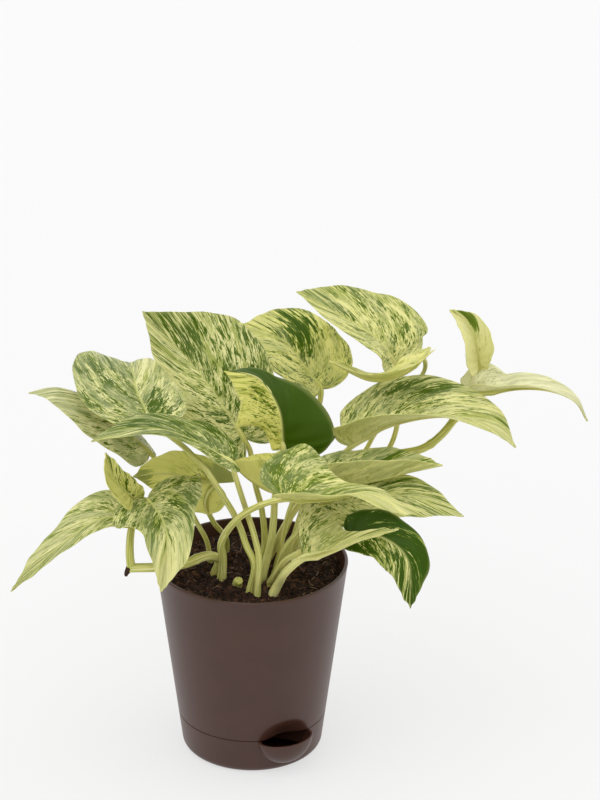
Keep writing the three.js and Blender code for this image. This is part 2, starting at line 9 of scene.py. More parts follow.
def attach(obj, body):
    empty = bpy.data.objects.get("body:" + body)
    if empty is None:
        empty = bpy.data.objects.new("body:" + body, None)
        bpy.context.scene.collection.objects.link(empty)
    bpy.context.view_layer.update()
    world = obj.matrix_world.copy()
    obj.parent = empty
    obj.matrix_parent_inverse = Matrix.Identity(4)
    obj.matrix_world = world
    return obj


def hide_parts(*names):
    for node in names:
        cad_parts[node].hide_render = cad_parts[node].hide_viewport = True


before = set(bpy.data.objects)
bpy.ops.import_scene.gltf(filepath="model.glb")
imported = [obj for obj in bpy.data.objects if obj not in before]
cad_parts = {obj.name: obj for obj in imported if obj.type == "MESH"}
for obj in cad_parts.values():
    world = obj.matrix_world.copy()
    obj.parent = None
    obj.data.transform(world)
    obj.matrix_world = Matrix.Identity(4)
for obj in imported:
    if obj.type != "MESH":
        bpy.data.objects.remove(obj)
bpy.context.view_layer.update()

MM = 0.001  # lengths below are in millimetres unless a name says otherwise
BODY = "root"

# ---- pot and saucer ----
POT_HEIGHT = 132.5
RIM_RADIUS = 62
BASE_RADIUS = 45.3
BASE_ROUND = 5
WALL = 2.2
SEAM_HEIGHT = 25
SEAM_GAP = 0.3
SHOULDER = SEAM_HEIGHT + SEAM_GAP  # where the pot's outside starts
SHOULDER_TUCK = 0.3
SHOULDER_ROUND = 0.4
INSERT_TOP_RADIUS = 45.2  # of the pot's part inside the saucer
INSERT_BOTTOM_RADIUS = 43.6
POT_FLOOR = 12
FLOOR_THICKNESS = 2
WELL_RADIUS = 14
WELL_BOTTOM = 3.2
SAUCER_FLOOR = 2.6
DRAIN_HOLES = 5
DRAIN_RADIUS = 2.5
DRAIN_CIRCLE = 26
RIM_ROUND = 0.9
EDGE_ROUND = 0.6
LIP_AZIMUTH = 28
LIP_HALF_WIDTH = 19
LIP_REACH = 11
LIP_DEPTH = 17
LIP_WALL = 1.8
LIP_BLEND = 1.8
BOWL_BLEND = 0.4  # inside the lip
DISH_HEIGHT = 15  # of the hollow above the lip
DISH_DEPTH = 6.5
DISH_SOFTNESS = 2.2
THROAT_DEPTH = 24
ROUND_STEPS = 150
LIP_SPREAD = 30  # degrees to each side of the lip with closer angles
CLOSE_ROWS_OUTSIDE = 44  # the pot's faces have close rows up to these heights
CLOSE_ROWS_INSIDE = 46
OPEN_ROWS = 50

# ---- soil ----
SOIL_TOP = 124
SOIL_GAP = 0.3
SOIL_RINGS = 100
MOUND = 2.5
ROOT_DEPTH = 12
HEAP_HEIGHT = 2.2  # of the soil drawn up round each stem
HEAP_SPREAD = 26
STRANDS = 1500
HAIR_EVERY = 18  # one strand in this many is a long thin pale root
HAIR_LENGTH = (8, 15)
HAIR_RADIUS = 0.13
STRAND_LENGTH = (2, 8)
STRAND_RADIUS = (0.15, 0.45)
CRUMBS = 900
CRUMB_SIZE = (0.5, 2.2)
CRUMB_SHAPE = (0.6, 0.45, 0.3)

# ---- leaves ----
BLADE_THICKNESS = 0.6
MARGIN_THICKNESS = 0.4
RIDGE_THICKNESS = 1.1
RIDGE_WIDTH = 1.5
GROOVE_DEPTH = 0.35  # of the groove along the midrib
GROOVE_WIDTH = 0.9
UNDER_RELIEF = 0.6  # how much of the top's relief shows below
SIDE_VEINS = 11
QUILT = 0.22
RIPPLE = 0.9
WAVE = 0.8
WAVE_SCALE = 0.055
NICKS = [(31, 0.5, 1), (67, 0.3, 2)]  # in the margin: rate, depth and phase of each wave
BASAL_SHARE = 0.27  # the part of the outline whose veins spring from the blade's base
OUTLINE_START = 0.05
VEIN_BOW = 0.14
BOW_LIMIT = 0.3
OUTLINE_STEPS = 84
VEIN_STEPS = 16
STREAK_RUN = 1.3
STREAK_LEAN = 0.4
LEAF_SEED = 37.0  # keeps the marbling of two leaves apart
HALF_SEED = 11.0
RIB_PAINT = 0.75
RIB_PAINT_WIDTH = 0.7
MARGIN_PAINT = 0.22
OUTLINE = [  # along the midrib and out from it, as shares of its length and the half's width
    (0, 0), (-0.06, 0.1), (-0.115, 0.3), (-0.1, 0.58), (0, 0.85), (0.16, 1),
    (0.36, 1), (0.56, 0.86), (0.74, 0.6), (0.88, 0.29), (0.96, 0.08), (1, 0),
]

# ---- stems ----
STEM_STEP = 1.6
STEM_GROOVE = 0.05  # depth of the lengthwise grooves, as a share of the radius
FOOT_FLARE = 0.18  # flare, knee and nodes swell the radius by a share
FOOT_HEIGHT = 9
KNEE_SWELL = 0.12
KNEE_PLACE = 0.9
KNEE_WIDTH = 0.05
NODE_SWELL = 0.16
NODE_SPACING = 24
NODE_START = 9
NODE_WIDTH = 1.4
RIB_START = 0.12  # the stalk's run under the blade, as shares of the midrib
RIB_END = 0.97
RIB_STEPS = 25
RIB_TAPER = 0.8
TIP_RADII = (2.6, 1)
TIP_STEPS = 8
STALK_SEED = 11.0
VINE_SEED = 300.0
STUB_SEED = 7.0
VINE_LEAVES = 20  # where the numbers of the vines' leaves start

# ---- camera and light ----
CAMERA_LENS = 144
CAMERA_DOWN = 24.18
CAMERA_ROLL = 0.29
CAMERA_DISTANCE = 2091
CAMERA_ASIDE = 31.3
CAMERA_UP = 168.6
CAMERA_AIM = (0, 0, 60)
FLOOR_REACH = 6000
FLOOR_ALBEDO = 0.25
FLOOR_GLOW = 0.61
SKY = 1.0
SKY_FRONT = 0.45  # the dome's strength low down behind the camera
LAMPS = {  # strength, spread in degrees and where the light comes from
    "lamp": (1.0, 70, (-0.35, -0.5, 1)),
    "side_lamp": (0.5, 50, (1, 0.15, 0.3)),
}

# Each leaf's shape is its solid's: rib = points of the midrib; face, face_tip = the way the blade
# faces at its base and tip; half = each half's width; fold = degrees by which each half folds up,
# one number or four along the midrib; curl = how much further it turns by the margin; lobe = each
# basal lobe's length, as a share of the usual; slim = how much each half narrows towards the tip.
# Its marbling: cream = how creamy the halves are, deep = how dark their green is, warm = how
# yellow the cream is, painted_sheen = its share of grey-green painted sheen, patches = (along,
# across, size, more or less cream), with across from -1 to 1. A leaf on its own stalk also has
# where the stalk stands, its first and last radius, its course to the leaf, how pale its skin is,
# and under = where it meets the midrib. The others grow on the vines.
LEAVES = {
    "left_low": dict(
        rib=[(-74, -22, 174), (-97, -26, 173), (-123, -30, 155), (-153, -34, 126)],
        face=(0.15, -0.3, 0.9), half=(11, 20), fold=(12, 14), curl=(-10, 0), slim=(0.3, 0.35),
        cream=(0.52, 0.6), deep=0.4, warm=0.3, painted_sheen=0.6),
    "left_front": dict(
        rib=[(-65, -30, 190), (-55, -52, 187), (-51, -72, 179), (-55, -80, 150)],
        face=(-0.1, -0.55, 0.8), face_tip=(0.15, -0.9, 0.2), half=(37, 29),
        fold=((0, 10, 20, 45), (8, 12, 20, 45)), curl=(0, -15), slim=(0.45, 0.4),
        cream=(0.48, 0.46), deep=0.6, warm=0.4, painted_sheen=0.6, patches=[(0.95, 0, 0.3, 0.5)]),
    "left_young": dict(
        rib=[(-74, -28, 189), (-85, -30, 203), (-91, -26, 220)],
        face=(0.45, -0.6, 0.5), half=(14, 10), fold=(30, 50), curl=(0, 10),
        cream=(0.85, 0.55), deep=0.7, warm=0.7),
    "left_back": dict(
        rib=[(-63, -8, 234), (-73, 22, 240), (-79, 62, 242), (-84, 88, 229)],
        face=(0.2, -0.35, 0.93), face_tip=(0.1, 0.2, 0.9),
        half=(44, 27), fold=(12, 26), curl=(2, -20), slim=(0, 0.2),
        cream=(0.48, 0.58), deep=(0.6, 0.7), warm=0.35, painted_sheen=0.8,
        patches=[(0.1, 0.3, 0.2, -0.25)],
        root=(-1, -35), radius=(2.2, 1.6),
        path=[(2, -35, 146), (-3, -33, 159), (-7, -31, 171), (-12, -30, 182), (-19, -33, 196),
              (-27, -36, 212), (-35, -33, 220), (-44, -24, 225), (-63, -8, 233)]),
    "left_under": dict(
        rib=[(-65, 0, 209), (-92, 8, 233), (-120, 14, 246), (-142, 16, 242)],
        face=(0.1, -0.3, 0.93), half=(19, 20), fold=(-4, -40), lobe=(0.3, 0.5), slim=(-0.45, 0),
        cream=(0.6, 0.56), deep=0.7, warm=0.1, painted_sheen=0.8,
        root=(-27, 6), radius=(1.7, 1.3),
        path=[(-29, 0, 145), (-36, 0, 160), (-48, 3, 184), (-65, 0, 208)]),
    "left_long": dict(
        rib=[(-12, -44, 223), (-35, -43, 237), (-64, -47, 247), (-98, -52, 240)],
        face=(0.1, -0.1, 0.97), half=(19, 31), fold=(15, 0), curl=(0, -10),
        lobe=(0.6, 0.4), slim=(0, 0.25),
        cream=(0.42, 0.4), deep=0.7, warm=0.4, painted_sheen=0.6, patches=[(0.95, 0, 0.2, 0.1)],
        root=(4, -38), radius=(2.1, 1.6), pale=0.3,
        path=[(5, -36, 150), (2, -33, 166), (-3, -30, 182), (-7, -34, 198), (-10, -40, 212),
              (-12, -44, 222)]),
    "left_shade": dict(
        rib=[(-23, -20, 197), (-39, -15, 199), (-58, -12, 200), (-75, -12, 197)],
        face=(-0.1, 0.95, 0.25), half=(18, 32), fold=(5, 5), lobe=(2.4, 1.3),
        cream=0.9, deep=0.6, warm=0.9,
        patches=[(0.95, 0, 0.2, -0.8), (-0.05, -0.5, 0.3, -0.8)],
        root=(-17, 20), radius=(1.8, 1.5),
        path=[(-17, 12, 142), (-24, 0, 158), (-29, -12, 177), (-27, -18, 189), (-23, -20, 196)]),
    "top_left": dict(
        rib=[(-5, 16, 211), (-28, 39, 237), (-48, 60, 253), (-72, 72, 275)],
        face=(-0.35, -0.8, 0.45), half=(29, 39), fold=(4, 12), curl=(0, -10), slim=(0.1, -0.25),
        cream=(0.55, 0.5), deep=(0.8, 0.75), warm=0.35, painted_sheen=0.2,
        root=(5, 2), radius=(2.2, 1.6),
        path=[(8, 5, 144), (6, 12, 163), (2, 15, 179), (-1, 17, 200), (-5, 16, 210)]),
    "top_centre": dict(
        rib=[(44, 58, 227), (31, 64, 244), (18, 70, 257), (-7, 74, 266)],
        face=(0.05, -0.6, 0.8), half=(22, 34), fold=((40, 40, 35, 5), 0),
        curl=(0, -10), lobe=(0.2, 0.6), slim=(-0.8, 0),
        cream=(0.58, 0.5), deep=0.8, warm=0.62, painted_sheen=0.5,
        patches=[(0.9, 0.2, 0.35, 0.15), (0.55, 0.3, 0.22, -0.25), (0.15, 0.5, 0.3, 0.2)],
        root=(14, 20), radius=(2.1, 1.6),
        path=[(24, 26, 148), (31, 34, 173), (40, 50, 205), (44, 58, 226)]),
    "centre_glossy": dict(
        rib=[(20, 4, 210), (17, 4, 237), (4, -3, 261), (-17, -14, 271)],
        face=(0.1, -0.95, 0.3), half=(9, 36), fold=((15, 10, 10, 10), (10, 0, -45, -85)),
        curl=(-5, -10), lobe=(0.1, 1), slim=(-2.8, 0.6), under=0.05,
        cream=(0.64, -0.05), deep=(0.5, 0.82), warm=0.85,
        # its first patch, a paler spot on the glossy green half, is a painted highlight
        patches=[(0.35, 0.25, 0.18, 0.25), (0.5, -0.5, 0.3, -0.15)],
        root=(7, -12), radius=(2.7, 1.8), pale=0.5,
        path=[(12, -6, 146), (14, 0, 161), (15, 6, 176), (19, 6, 197), (20, 4, 209)]),
    "top_right": dict(
        rib=[(91, 54, 247), (84, 54, 261), (62, 54, 277), (28, 56, 296)],
        face=(0.25, -0.6, 0.75), half=(19, 38), fold=(35, 0), curl=(0, -12),
        lobe=(0.3, 1), slim=(-0.4, 0.2),
        cream=(0.58, 0.56), deep=0.6, warm=0.5, painted_sheen=0.5, patches=[(0.75, 0.3, 0.35, -0.06)],
        root=(27, 14), radius=(2, 1.5),
        path=[(39, 20, 144), (54, 28, 158), (74, 40, 172), (88, 50, 187), (94, 58, 202),
              (95, 64, 223), (91, 55, 246)]),
    "right_young": dict(
        rib=[(109, 32, 261), (93, 25, 252), (74, 27, 248), (49, 38, 256)],
        face=(0, 0.1, 0.95), half=(13, 12), fold=(30, 8),
        cream=0.7, deep=0.3, warm=0.6, painted_sheen=0.4,
        root=(21, 22), radius=(1.7, 1.3),
        path=[(34, 28, 147), (50, 34, 162), (71, 46, 185), (80, 54, 198), (98, 60, 221),
              (110, 51, 242), (109, 32, 260)]),
    "right_large": dict(
        rib=[(63, 14, 207), (85, 14, 222), (120, 14, 229), (151, 10, 224), (168, 6, 210)],
        face=(0, -0.05, 1), half=(38, 27), fold=((20, 20, 20, 15), (66, 42, 26, 5)),
        curl=(-5, 0), lobe=(0.2, 0.3),
        cream=(0.6, 0.68), deep=(0.65, 0.5), warm=0.4, painted_sheen=0.6,
        patches=[(0.4, -0.7, 0.22, -0.2)],
        root=(10, 10), radius=(2.4, 1.7), pale=0.6,
        path=[(18, 10, 145), (24, 12, 156), (35, 14, 172), (51, 17, 190), (63, 14, 206)]),
    "right_upright": dict(
        rib=[(146, 54, 245), (143, 52, 263), (137, 54, 276), (126, 58, 283)],
        face=(0.1, -0.9, 0.3), half=(14, 8), fold=((55, 50, 50, 40), (35, 35, 35, 40)),
        lobe=(0.4, 0.4), slim=(0, -0.7),
        cream=(1.2, 1), deep=0.3, warm=0.4, patches=[(0.75, 0.5, 0.3, -0.8)]),
    "right_far": dict(
        rib=[(145, 48, 230), (169, 44, 236), (191, 40, 236), (208, 37, 229), (216, 36, 215)],
        face=(0, -0.05, 0.98), half=(20, 18), fold=((80, 0, -5, -10), (45, 27, 27, 10)),
        lobe=(1, 0.5),
        cream=(0.8, 0.85), deep=0.3, warm=0, painted_sheen=0.6),
    "front_centre": dict(
        rib=[(21, -52, 202), (46, -54, 203), (74, -56, 207), (103, -60, 195)],
        face=(0, -0.05, 1), half=(41, 28), fold=((34, 34, 10, 5), (34, 34, 28, -20)),
        lobe=(1.6, 0.6), slim=(0.75, 0.1),
        cream=(0.36, 0.68), deep=0.35, warm=0.5, painted_sheen=0.6,
        patches=[(0.85, 0, 0.25, 0.2), (0.2, -0.5, 0.15, 0.25), (0.6, -0.4, 0.25, 0.25)],
        root=(-19, -18), radius=(2.7, 1.7),
        path=[(-18, -20, 142), (-19, -26, 156), (-14, -36, 172), (-5, -42, 185), (7, -48, 195),
              (21, -52, 201)]),
    "right_folded": dict(
        rib=[(45, -13, 194), (72, -14, 196), (97, -18, 204), (120, -24, 212)],
        face=(0, 0, 1), half=(24, 24), fold=(30, 54),
        cream=(0.5, 0.6), deep=(0.5, 0.4), warm=0.4, painted_sheen=0.9,
        root=(19, -5), radius=(1.6, 1.4), pale=0.4,
        path=[(26, -3, 148), (31, -2, 166), (36, -3, 183), (45, -12, 193)]),
    "right_low": dict(
        rib=[(42, -16, 179), (69, -18, 185), (99, -24, 190), (134, -32, 180)],
        face=(0, -0.4, 0.92), half=(20, 22), fold=(5, 5), curl=(-10, -10), lobe=(0.5, 1),
        cream=(0.52, 0.55), deep=0.75, warm=0.4, painted_sheen=0.4,
        root=(14, -12), radius=(1.8, 1.5),
        path=[(21, -15, 148), (29, -16, 160), (36, -16, 172), (42, -16, 178)]),
    "right_dark": dict(
        rib=[(60, -54, 178), (83, -62, 179), (98, -70, 167), (100, -74, 136)],
        face=(0.1, -0.75, 0.6), half=(16, 12), fold=(8, 8), lobe=(0.3, 0.5), slim=(0, -0.5),
        cream=(0.24, 0.42), deep=(0.9, 0.85), warm=0.5, patches=[(0.8, -0.5, 0.3, 0.15)],
        root=(12, -22), radius=(2, 1.6),
        path=[(21, -32, 147), (31, -42, 159), (46, -52, 173), (60, -54, 177)]),
    "front_curled": dict(
        rib=[(33, -58, 164), (50, -64, 173), (69, -74, 186), (91, -82, 196)],
        face=(-0.05, -0.1, 1), half=(38, 20), fold=(40, (25, 25, 15, 10)),
        lobe=(0.25, 0.25), slim=(0.85, 0.3),
        cream=(0.56, 0.66), deep=(0.5, 0.4), warm=0.45, painted_sheen=0.4,
        root=(14, -38), radius=(2.8, 2.2), pale=0.8,
        path=[(18, -39, 136), (23, -48, 149), (33, -58, 163)]),
    "centre_folded": dict(
        rib=[(27, -16, 190), (13, -16, 190), (-1, -18, 199), (-13, -20, 212)],
        face=(0, 0.1, 1), half=(27, 25), fold=(66, 55),
        cream=(0.85, 0.75), deep=0.7, warm=0.9, painted_sheen=0.1,
        root=(15, -3), radius=(1.5, 1.3),
        path=[(19, -8, 147), (23, -14, 171), (27, -16, 185), (27, -16, 190)]),
}

# Vines: a stem out of the soil, and the branches off it that carry its leaves.
VINES = {
    "left_vine": dict(
        root=(-23, -10), radius=(3.1, 2.9),
        path=[(-20, -13, 138), (-25, -17, 143), (-31, -22, 145), (-41, -27, 143), (-50, -31, 143),
              (-60, -31, 142), (-76, -30, 141)],
        branches=[
            dict(path=[(-76, -30, 139), (-77, -29, 152), (-76, -27, 166), (-74, -23, 173)],
                 radius=(2.8, 2), leaf="left_low"),
            dict(path=[(-74, -25, 172), (-69, -26, 183), (-65, -29, 189)],
                 radius=(1.7, 1.4), leaf="left_front"),
            dict(path=[(-75, -25, 171), (-75, -27, 180), (-74, -28, 187)],
                 radius=(1.4, 1.2), leaf="left_young"),
        ],
        root_tip=[(-77, -30, 141), (-79, -31, 138), (-79.5, -31, 136)]),
    "right_vine": dict(
        root=(22, 6), radius=(2.9, 2.5),
        path=[(33, 8, 150), (47, 10, 167), (64, 14, 184), (85, 18, 197), (108, 24, 200),
              (121, 32, 206), (132, 42, 216), (139, 47, 224), (145, 48, 229)],
        branches=[
            dict(path=[(145, 48, 229)], radius=(2.5, 2), leaf="right_far"),
            dict(path=[(135, 44, 219), (142, 56, 228), (146, 54, 244)],
                 radius=(1.4, 1.2), leaf="right_upright"),
        ]),
}

# The short stub left of a pruned stem.
STUB = dict(root=(-9, -24), path=[(-8, -27, 131)], radius=(3, 2.4))

STALKED = {name: leaf for name, leaf in LEAVES.items() if "root" in leaf}
FEET = [stem["root"] for stem in (*STALKED.values(), *VINES.values(), STUB)]


# ---- small helpers ----
def unit(v):
    v = np.asarray(v, float)
    return v / np.maximum(np.linalg.norm(v, axis=-1, keepdims=True), 1e-9)


def smooth(x, low, high):
    """A soft step from 0 at low to 1 at high."""
    s = np.clip((np.asarray(x, float) - low) / (high - low), 0, 1)
    return s * s * (3 - 2 * s)


def hill(x, width):
    """A bell shape that is 1 at zero."""
    return np.exp(-((x / width) ** 2))


def catmull(points, t):
    """Points of a smooth curve through the given ones, t running from 0 to 1."""
    p = np.asarray(points, float)
    p = np.vstack([2 * p[0] - p[1], p, 2 * p[-1] - p[-2]])
    x = np.clip(np.asarray(t, float), 0, 1) * (len(points) - 1)
    i = np.minimum(x.astype(int), len(points) - 2)
    u = (x - i)[..., None]
    a, b, c, d = p[i], p[i + 1], p[i + 2], p[i + 3]
    return 0.5 * (2 * b + (c - a) * u + (2 * a - 5 * b + 4 * c - d) * u**2
                  + (3 * b - a - 3 * c + d) * u**3)


class Course:
    """A smooth curve read by its share of arc length."""

    def __init__(self, points):
        self.points = catmull(points, np.linspace(0, 1, 401))
        steps = np.linalg.norm(np.diff(self.points, axis=0), axis=1)
        self.length = steps.sum()
        self.shares = np.append(0, np.cumsum(steps)) / self.length
        self.tangents = unit(np.gradient(self.points, axis=0))

    def read(self, values, u):
        return np.stack([np.interp(u, self.shares, values[:, k]) for k in range(3)], -1)

    def point(self, u):
        return self.read(self.points, u)

    def tangent(self, u):
        return unit(self.read(self.tangents, u))


def placed(name, data):
    """An object of the data, in the scene."""
    made = bpy.data.objects.new(name, data)
    bpy.context.scene.collection.objects.link(made)
    return made


def mesh_object(name, points, faces, *materials, smooth_angle=50):
    """A mesh piece from points in millimetres, with the materials of the given keys."""
    mesh = bpy.data.meshes.new(name)
    mesh.from_pydata((np.asarray(points, float) * MM).tolist(), [], faces)
    mesh.validate()
    mesh.shade_smooth()
    mesh.set_sharp_from_angle(angle=math.radians(smooth_angle))
    for key in materials:
        mesh.materials.append(MATERIALS[key])
    return placed(name, mesh)


def merged(shapes):
    """The points and faces of several shapes as one."""
    points, faces, count = [], [], 0
    for rows, rings in shapes:
        points.append(rows)
        faces += [tuple(k + count for k in ring) for ring in rings]
        count += len(rows)
    return np.vstack(points), faces


def set_vectors(piece, name, values):
    made = piece.data.attributes.new(name, "FLOAT_VECTOR", "POINT")
    made.data.foreach_set("vector", np.asarray(values, np.float32).ravel())


def belongs(piece, slot, *nodes):
    """The piece rides on the plant's one body, and stands for the named solids."""
    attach(piece, BODY)
    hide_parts(*nodes)


# ---- materials ----
def node(tree, kind, inputs=None, **settings):
    made = tree.nodes.new("ShaderNode" + kind)
    for key, value in settings.items():
        setattr(made, key, value)
    for key, value in (inputs or {}).items():
        if isinstance(value, bpy.types.NodeSocket):
            tree.links.new(value, made.inputs[key])
        else:
            made.inputs[key].default_value = value
    return made


def new_material(name, **surface):
    made = bpy.data.materials.new(name)
    made.use_nodes = True
    tree = made.node_tree
    shader = tree.nodes["Principled BSDF"]
    for key, value in surface.items():
        shader.inputs[key.replace("_", " ")].default_value = value
    return made, tree, shader


def math_node(tree, operation, a, b=0.0):
    return node(tree, "Math", {0: a, 1: b}, operation=operation).outputs[0]


def attribute(tree, name, output="Vector"):
    return node(tree, "Attribute", attribute_name=name).outputs[output]


def channels(tree, vector):
    return node(tree, "SeparateXYZ", {0: vector}).outputs


def stretched_noise(tree, vector, scale, detail, rough):
    """Noise over a vector stretched by a scale for each axis."""
    scaled = node(tree, "VectorMath", {0: vector, 1: scale}, operation="MULTIPLY").outputs[0]
    made = node(tree, "TexNoise", {"Vector": scaled, "Scale": 1.0, "Detail": detail,
                                   "Roughness": rough})
    return made.outputs["Fac"]


def layered(tree, vector, layers, *more):
    """A sum of noises about zero, each of a scale, gain and detail, and of further values."""
    value = more[0]
    for scale, gain, detail in layers:
        noisy = stretched_noise(tree, vector, scale, detail, 0.6)
        centred = math_node(tree, "SUBTRACT", noisy, 0.5)
        value = math_node(tree, "ADD", math_node(tree, "MULTIPLY", centred, gain), value)
    for further in more[1:]:
        value = math_node(tree, "ADD", value, further)
    return value


def srgb(r, g, b):
    """The shader's colour for an 8-bit one."""
    linear = [((c / 255 + 0.055) / 1.055) ** 2.4 if c > 10 else c / 255 / 12.92 for c in (r, g, b)]
    return (*linear, 1)


def ramp(tree, factor, stops):
    made = node(tree, "ValToRGB", {"Fac": factor})
    elements = made.color_ramp.elements
    while len(elements) < len(stops):
        elements.new(0.5)
    for element, (place, color) in zip(elements, stops):
        element.position = place
        element.color = color
    return made.outputs["Color"]


def fade(tree, factor, low, high, first=0, last=1):
    """A ramp of greys from the first at low to the last at high."""
    return ramp(tree, factor, [(low, (first, first, first, 1)), (high, (last, last, last, 1))])


def mix_colors(tree, factor, a, b, blend="MIX"):
    made = node(tree, "Mix", {"Factor": factor, 6: a, 7: b}, data_type="RGBA", blend_type=blend)
    return made.outputs[2]


def finish_surface(tree, shader, color, height, strength, distance):
    """Gives the shader its colour and a bump of a depth in metres."""
    tree.links.new(color, shader.inputs["Base Color"])
    bump = node(tree, "Bump", {"Height": height, "Strength": strength, "Distance": distance})
    tree.links.new(bump.outputs[0], shader.inputs["Normal"])


def leaf_material(name, underside):
    """Marbling along the veins: two creams, flecked with two greens, under a painted grey-green
    sheen.
    """
    made, tree, shader = new_material(name, Roughness=0.42, IOR=1.24, Subsurface_Weight=0.1,
                                      Subsurface_Scale=0.003)
    shader.inputs["Subsurface Radius"].default_value = (0.8, 1.0, 0.3)
    vein = attribute(tree, "vein")
    cream, warm, deep = channels(tree, attribute(tree, "paint"))
    painted_sheen, rib, margin = channels(tree, attribute(tree, "tone"))
    other = node(tree, "VectorMath", {0: vein, 1: (0, 0, 500)}, operation="ADD").outputs[0]
    lean = math_node(tree, "MULTIPLY", math_node(tree, "SUBTRACT", cream, 0.5), 1.8)

    creams = ramp(tree, warm, [(0, srgb(220, 217, 172)), (1, srgb(222, 218, 112))])
    between = ramp(tree, warm, [(0, srgb(150, 158, 96)), (1, srgb(164, 170, 58))])
    ground = layered(tree, other, [((0.16, 0.1, 1), 1.6, 4), ((1, 0.45, 1), 1.5, 3)],
                     math_node(tree, "MULTIPLY", lean, 0.3), 0.5)
    color = mix_colors(tree, fade(tree, ground, 0.3, 0.62), between, creams)

    flecks = layered(tree, vein, [((0.1, 0.06, 1), 1.2, 3), ((0.32, 0.16, 1), 1.9, 4),
                                  ((1, 0.42, 1), 1.8, 3), ((2.4, 1, 1), 0.7, 2)], lean, 0.5)
    greens = ramp(tree, deep, [(0, srgb(142, 158, 54)), (0.5, srgb(98, 118, 26)),
                               (1, srgb(58, 90, 0))])
    dim = mix_colors(tree, 1.0, greens, (0.55, 0.62, 0.45, 1), "MULTIPLY")
    color = mix_colors(tree, fade(tree, flecks, 0.42, 0.5, 1, 0), color, greens)
    color = mix_colors(tree, fade(tree, flecks, 0.2, 0.34, 1, 0), color, dim)

    # Painted sheen: grey-green patches stand in for the white dome's reflection on the satin leaf.
    sheen_patches = layered(tree, other, [((0.08, 0.06, 1), 2.0, 3)], 0.5)
    sheen_patches = math_node(tree, "MULTIPLY", painted_sheen, fade(tree, sheen_patches, 0.4, 0.65, 0, 0.7))
    for amount, tint in ((sheen_patches, srgb(142, 150, 102)), (rib, srgb(206, 208, 128)),
                         (margin, srgb(204, 202, 140))):
        color = mix_colors(tree, amount, color, tint)
    # The underside is paler: partly its own paler colour, partly painted light that stands in for
    # light shining through the leaf.
    if underside:
        color = mix_colors(tree, 0.4, color, srgb(212, 210, 124))
        shader.inputs["Roughness"].default_value = 0.6
    height = layered(tree, vein, [((1.6, 0.5, 1), 1, 4)], 0)
    finish_surface(tree, shader, color, height, 0.3, 0.0004)
    return made


def stem_material():
    made, tree, shader = new_material("stem_skin", Roughness=0.45, IOR=1.3,
                                      Subsurface_Weight=0.1, Subsurface_Scale=0.003)
    along = attribute(tree, "vein")
    lines = stretched_noise(tree, along, (1.2, 0.03, 1), 3, 0.6)
    blotches = stretched_noise(tree, along, (0.2, 0.05, 1), 3, 0.6)
    color = ramp(tree, lines, [(0.32, srgb(142, 148, 58)), (0.5, srgb(200, 200, 108)),
                               (0.66, srgb(230, 226, 160))])
    color = mix_colors(tree, attribute(tree, "paint", "Fac"), color, srgb(220, 217, 142))
    brown = fade(tree, blotches, 0.52, 0.7, 0, 0.6)
    color = mix_colors(tree, brown, color, srgb(138, 128, 62))
    finish_surface(tree, shader, color, lines, 0.3, 0.0003)
    return made


def plastic_material():
    made, tree, shader = new_material("satin_plastic", Roughness=0.38, IOR=1.46)
    place = node(tree, "TexCoord").outputs["Object"]
    mottle = stretched_noise(tree, place, (40, 40, 40), 4, 0.6)
    grain = stretched_noise(tree, place, (2600, 2600, 2600), 2, 0.5)
    color = ramp(tree, mottle, [(0.3, srgb(65, 39, 29)), (0.7, srgb(70, 43, 33))])
    rough = node(tree, "MapRange", {"Value": mottle, "To Min": 0.34, "To Max": 0.42})
    tree.links.new(rough.outputs[0], shader.inputs["Roughness"])
    finish_surface(tree, shader, color, grain, 0.12, 0.0002)
    return made


def soil_material():
    made, tree, shader = new_material("potting_mix", Roughness=0.95, IOR=1.4)
    place = node(tree, "TexCoord").outputs["Object"]
    coarse = stretched_noise(tree, place, (260, 260, 260), 6, 0.7)
    fine = stretched_noise(tree, place, (1400, 1400, 1400), 4, 0.7)
    color = ramp(tree, coarse, [(0.35, srgb(24, 14, 9)), (0.52, srgb(62, 39, 27)),
                                (0.68, srgb(112, 76, 55))])
    finish_surface(tree, shader, color, fine, 0.8, 0.001)
    return made


def fibre_material():
    made, tree, shader = new_material("bark_fibre", Roughness=0.9, IOR=1.4)
    tint = channels(tree, attribute(tree, "tint"))[0]
    color = ramp(tree, tint, [(0, srgb(24, 14, 10)), (0.6, srgb(58, 37, 26)),
                              (0.9, srgb(98, 68, 49)), (1, srgb(178, 152, 124))])
    tree.links.new(color, shader.inputs["Base Color"])
    return made


def floor_material():
    made, _, shader = new_material("pale_floor", Roughness=0.9, Emission_Strength=FLOOR_GLOW)
    shader.inputs["Base Color"].default_value = (FLOOR_ALBEDO, FLOOR_ALBEDO, FLOOR_ALBEDO, 1)
    shader.inputs["Emission Color"].default_value = (1, 1, 1, 1)
    return made


# ---- leaf blades ----
def vein_root(t):
    """Where on the midrib the vein to a place on the outline springs."""
    return np.maximum(0, (t - BASAL_SHARE) / (1 - BASAL_SHARE)) ** 2


def flat_points(leaf, side, t, v, length):
    """Where points of one half lie in the flat blade: along the midrib, and out from it."""
    edge = catmull(OUTLINE, t)
    lobe = leaf.get("lobe", (1, 1))[side]
    along = np.where(edge[..., 0] < 0, edge[..., 0] * lobe, edge[..., 0])
    narrow = 1 - leaf.get("slim", (0, 0))[side] * smooth(along, 0.05, 0.55)
    start = np.stack([vein_root(t) * length, 0 * t], -1)
    end = np.stack([along * length, edge[..., 1] * leaf["half"][side] * narrow], -1)
    span = end - start
    bow = VEIN_BOW * smooth(t, 0.1, 0.4)
    lift = np.minimum(bow * span[..., 0], BOW_LIMIT * span[..., 1])
    middle = start + 0.5 * span + np.stack([-bow * span[..., 1], lift], -1)
    w = v[..., None]
    return (1 - w) ** 2 * start + 2 * w * (1 - w) * middle + w**2 * end


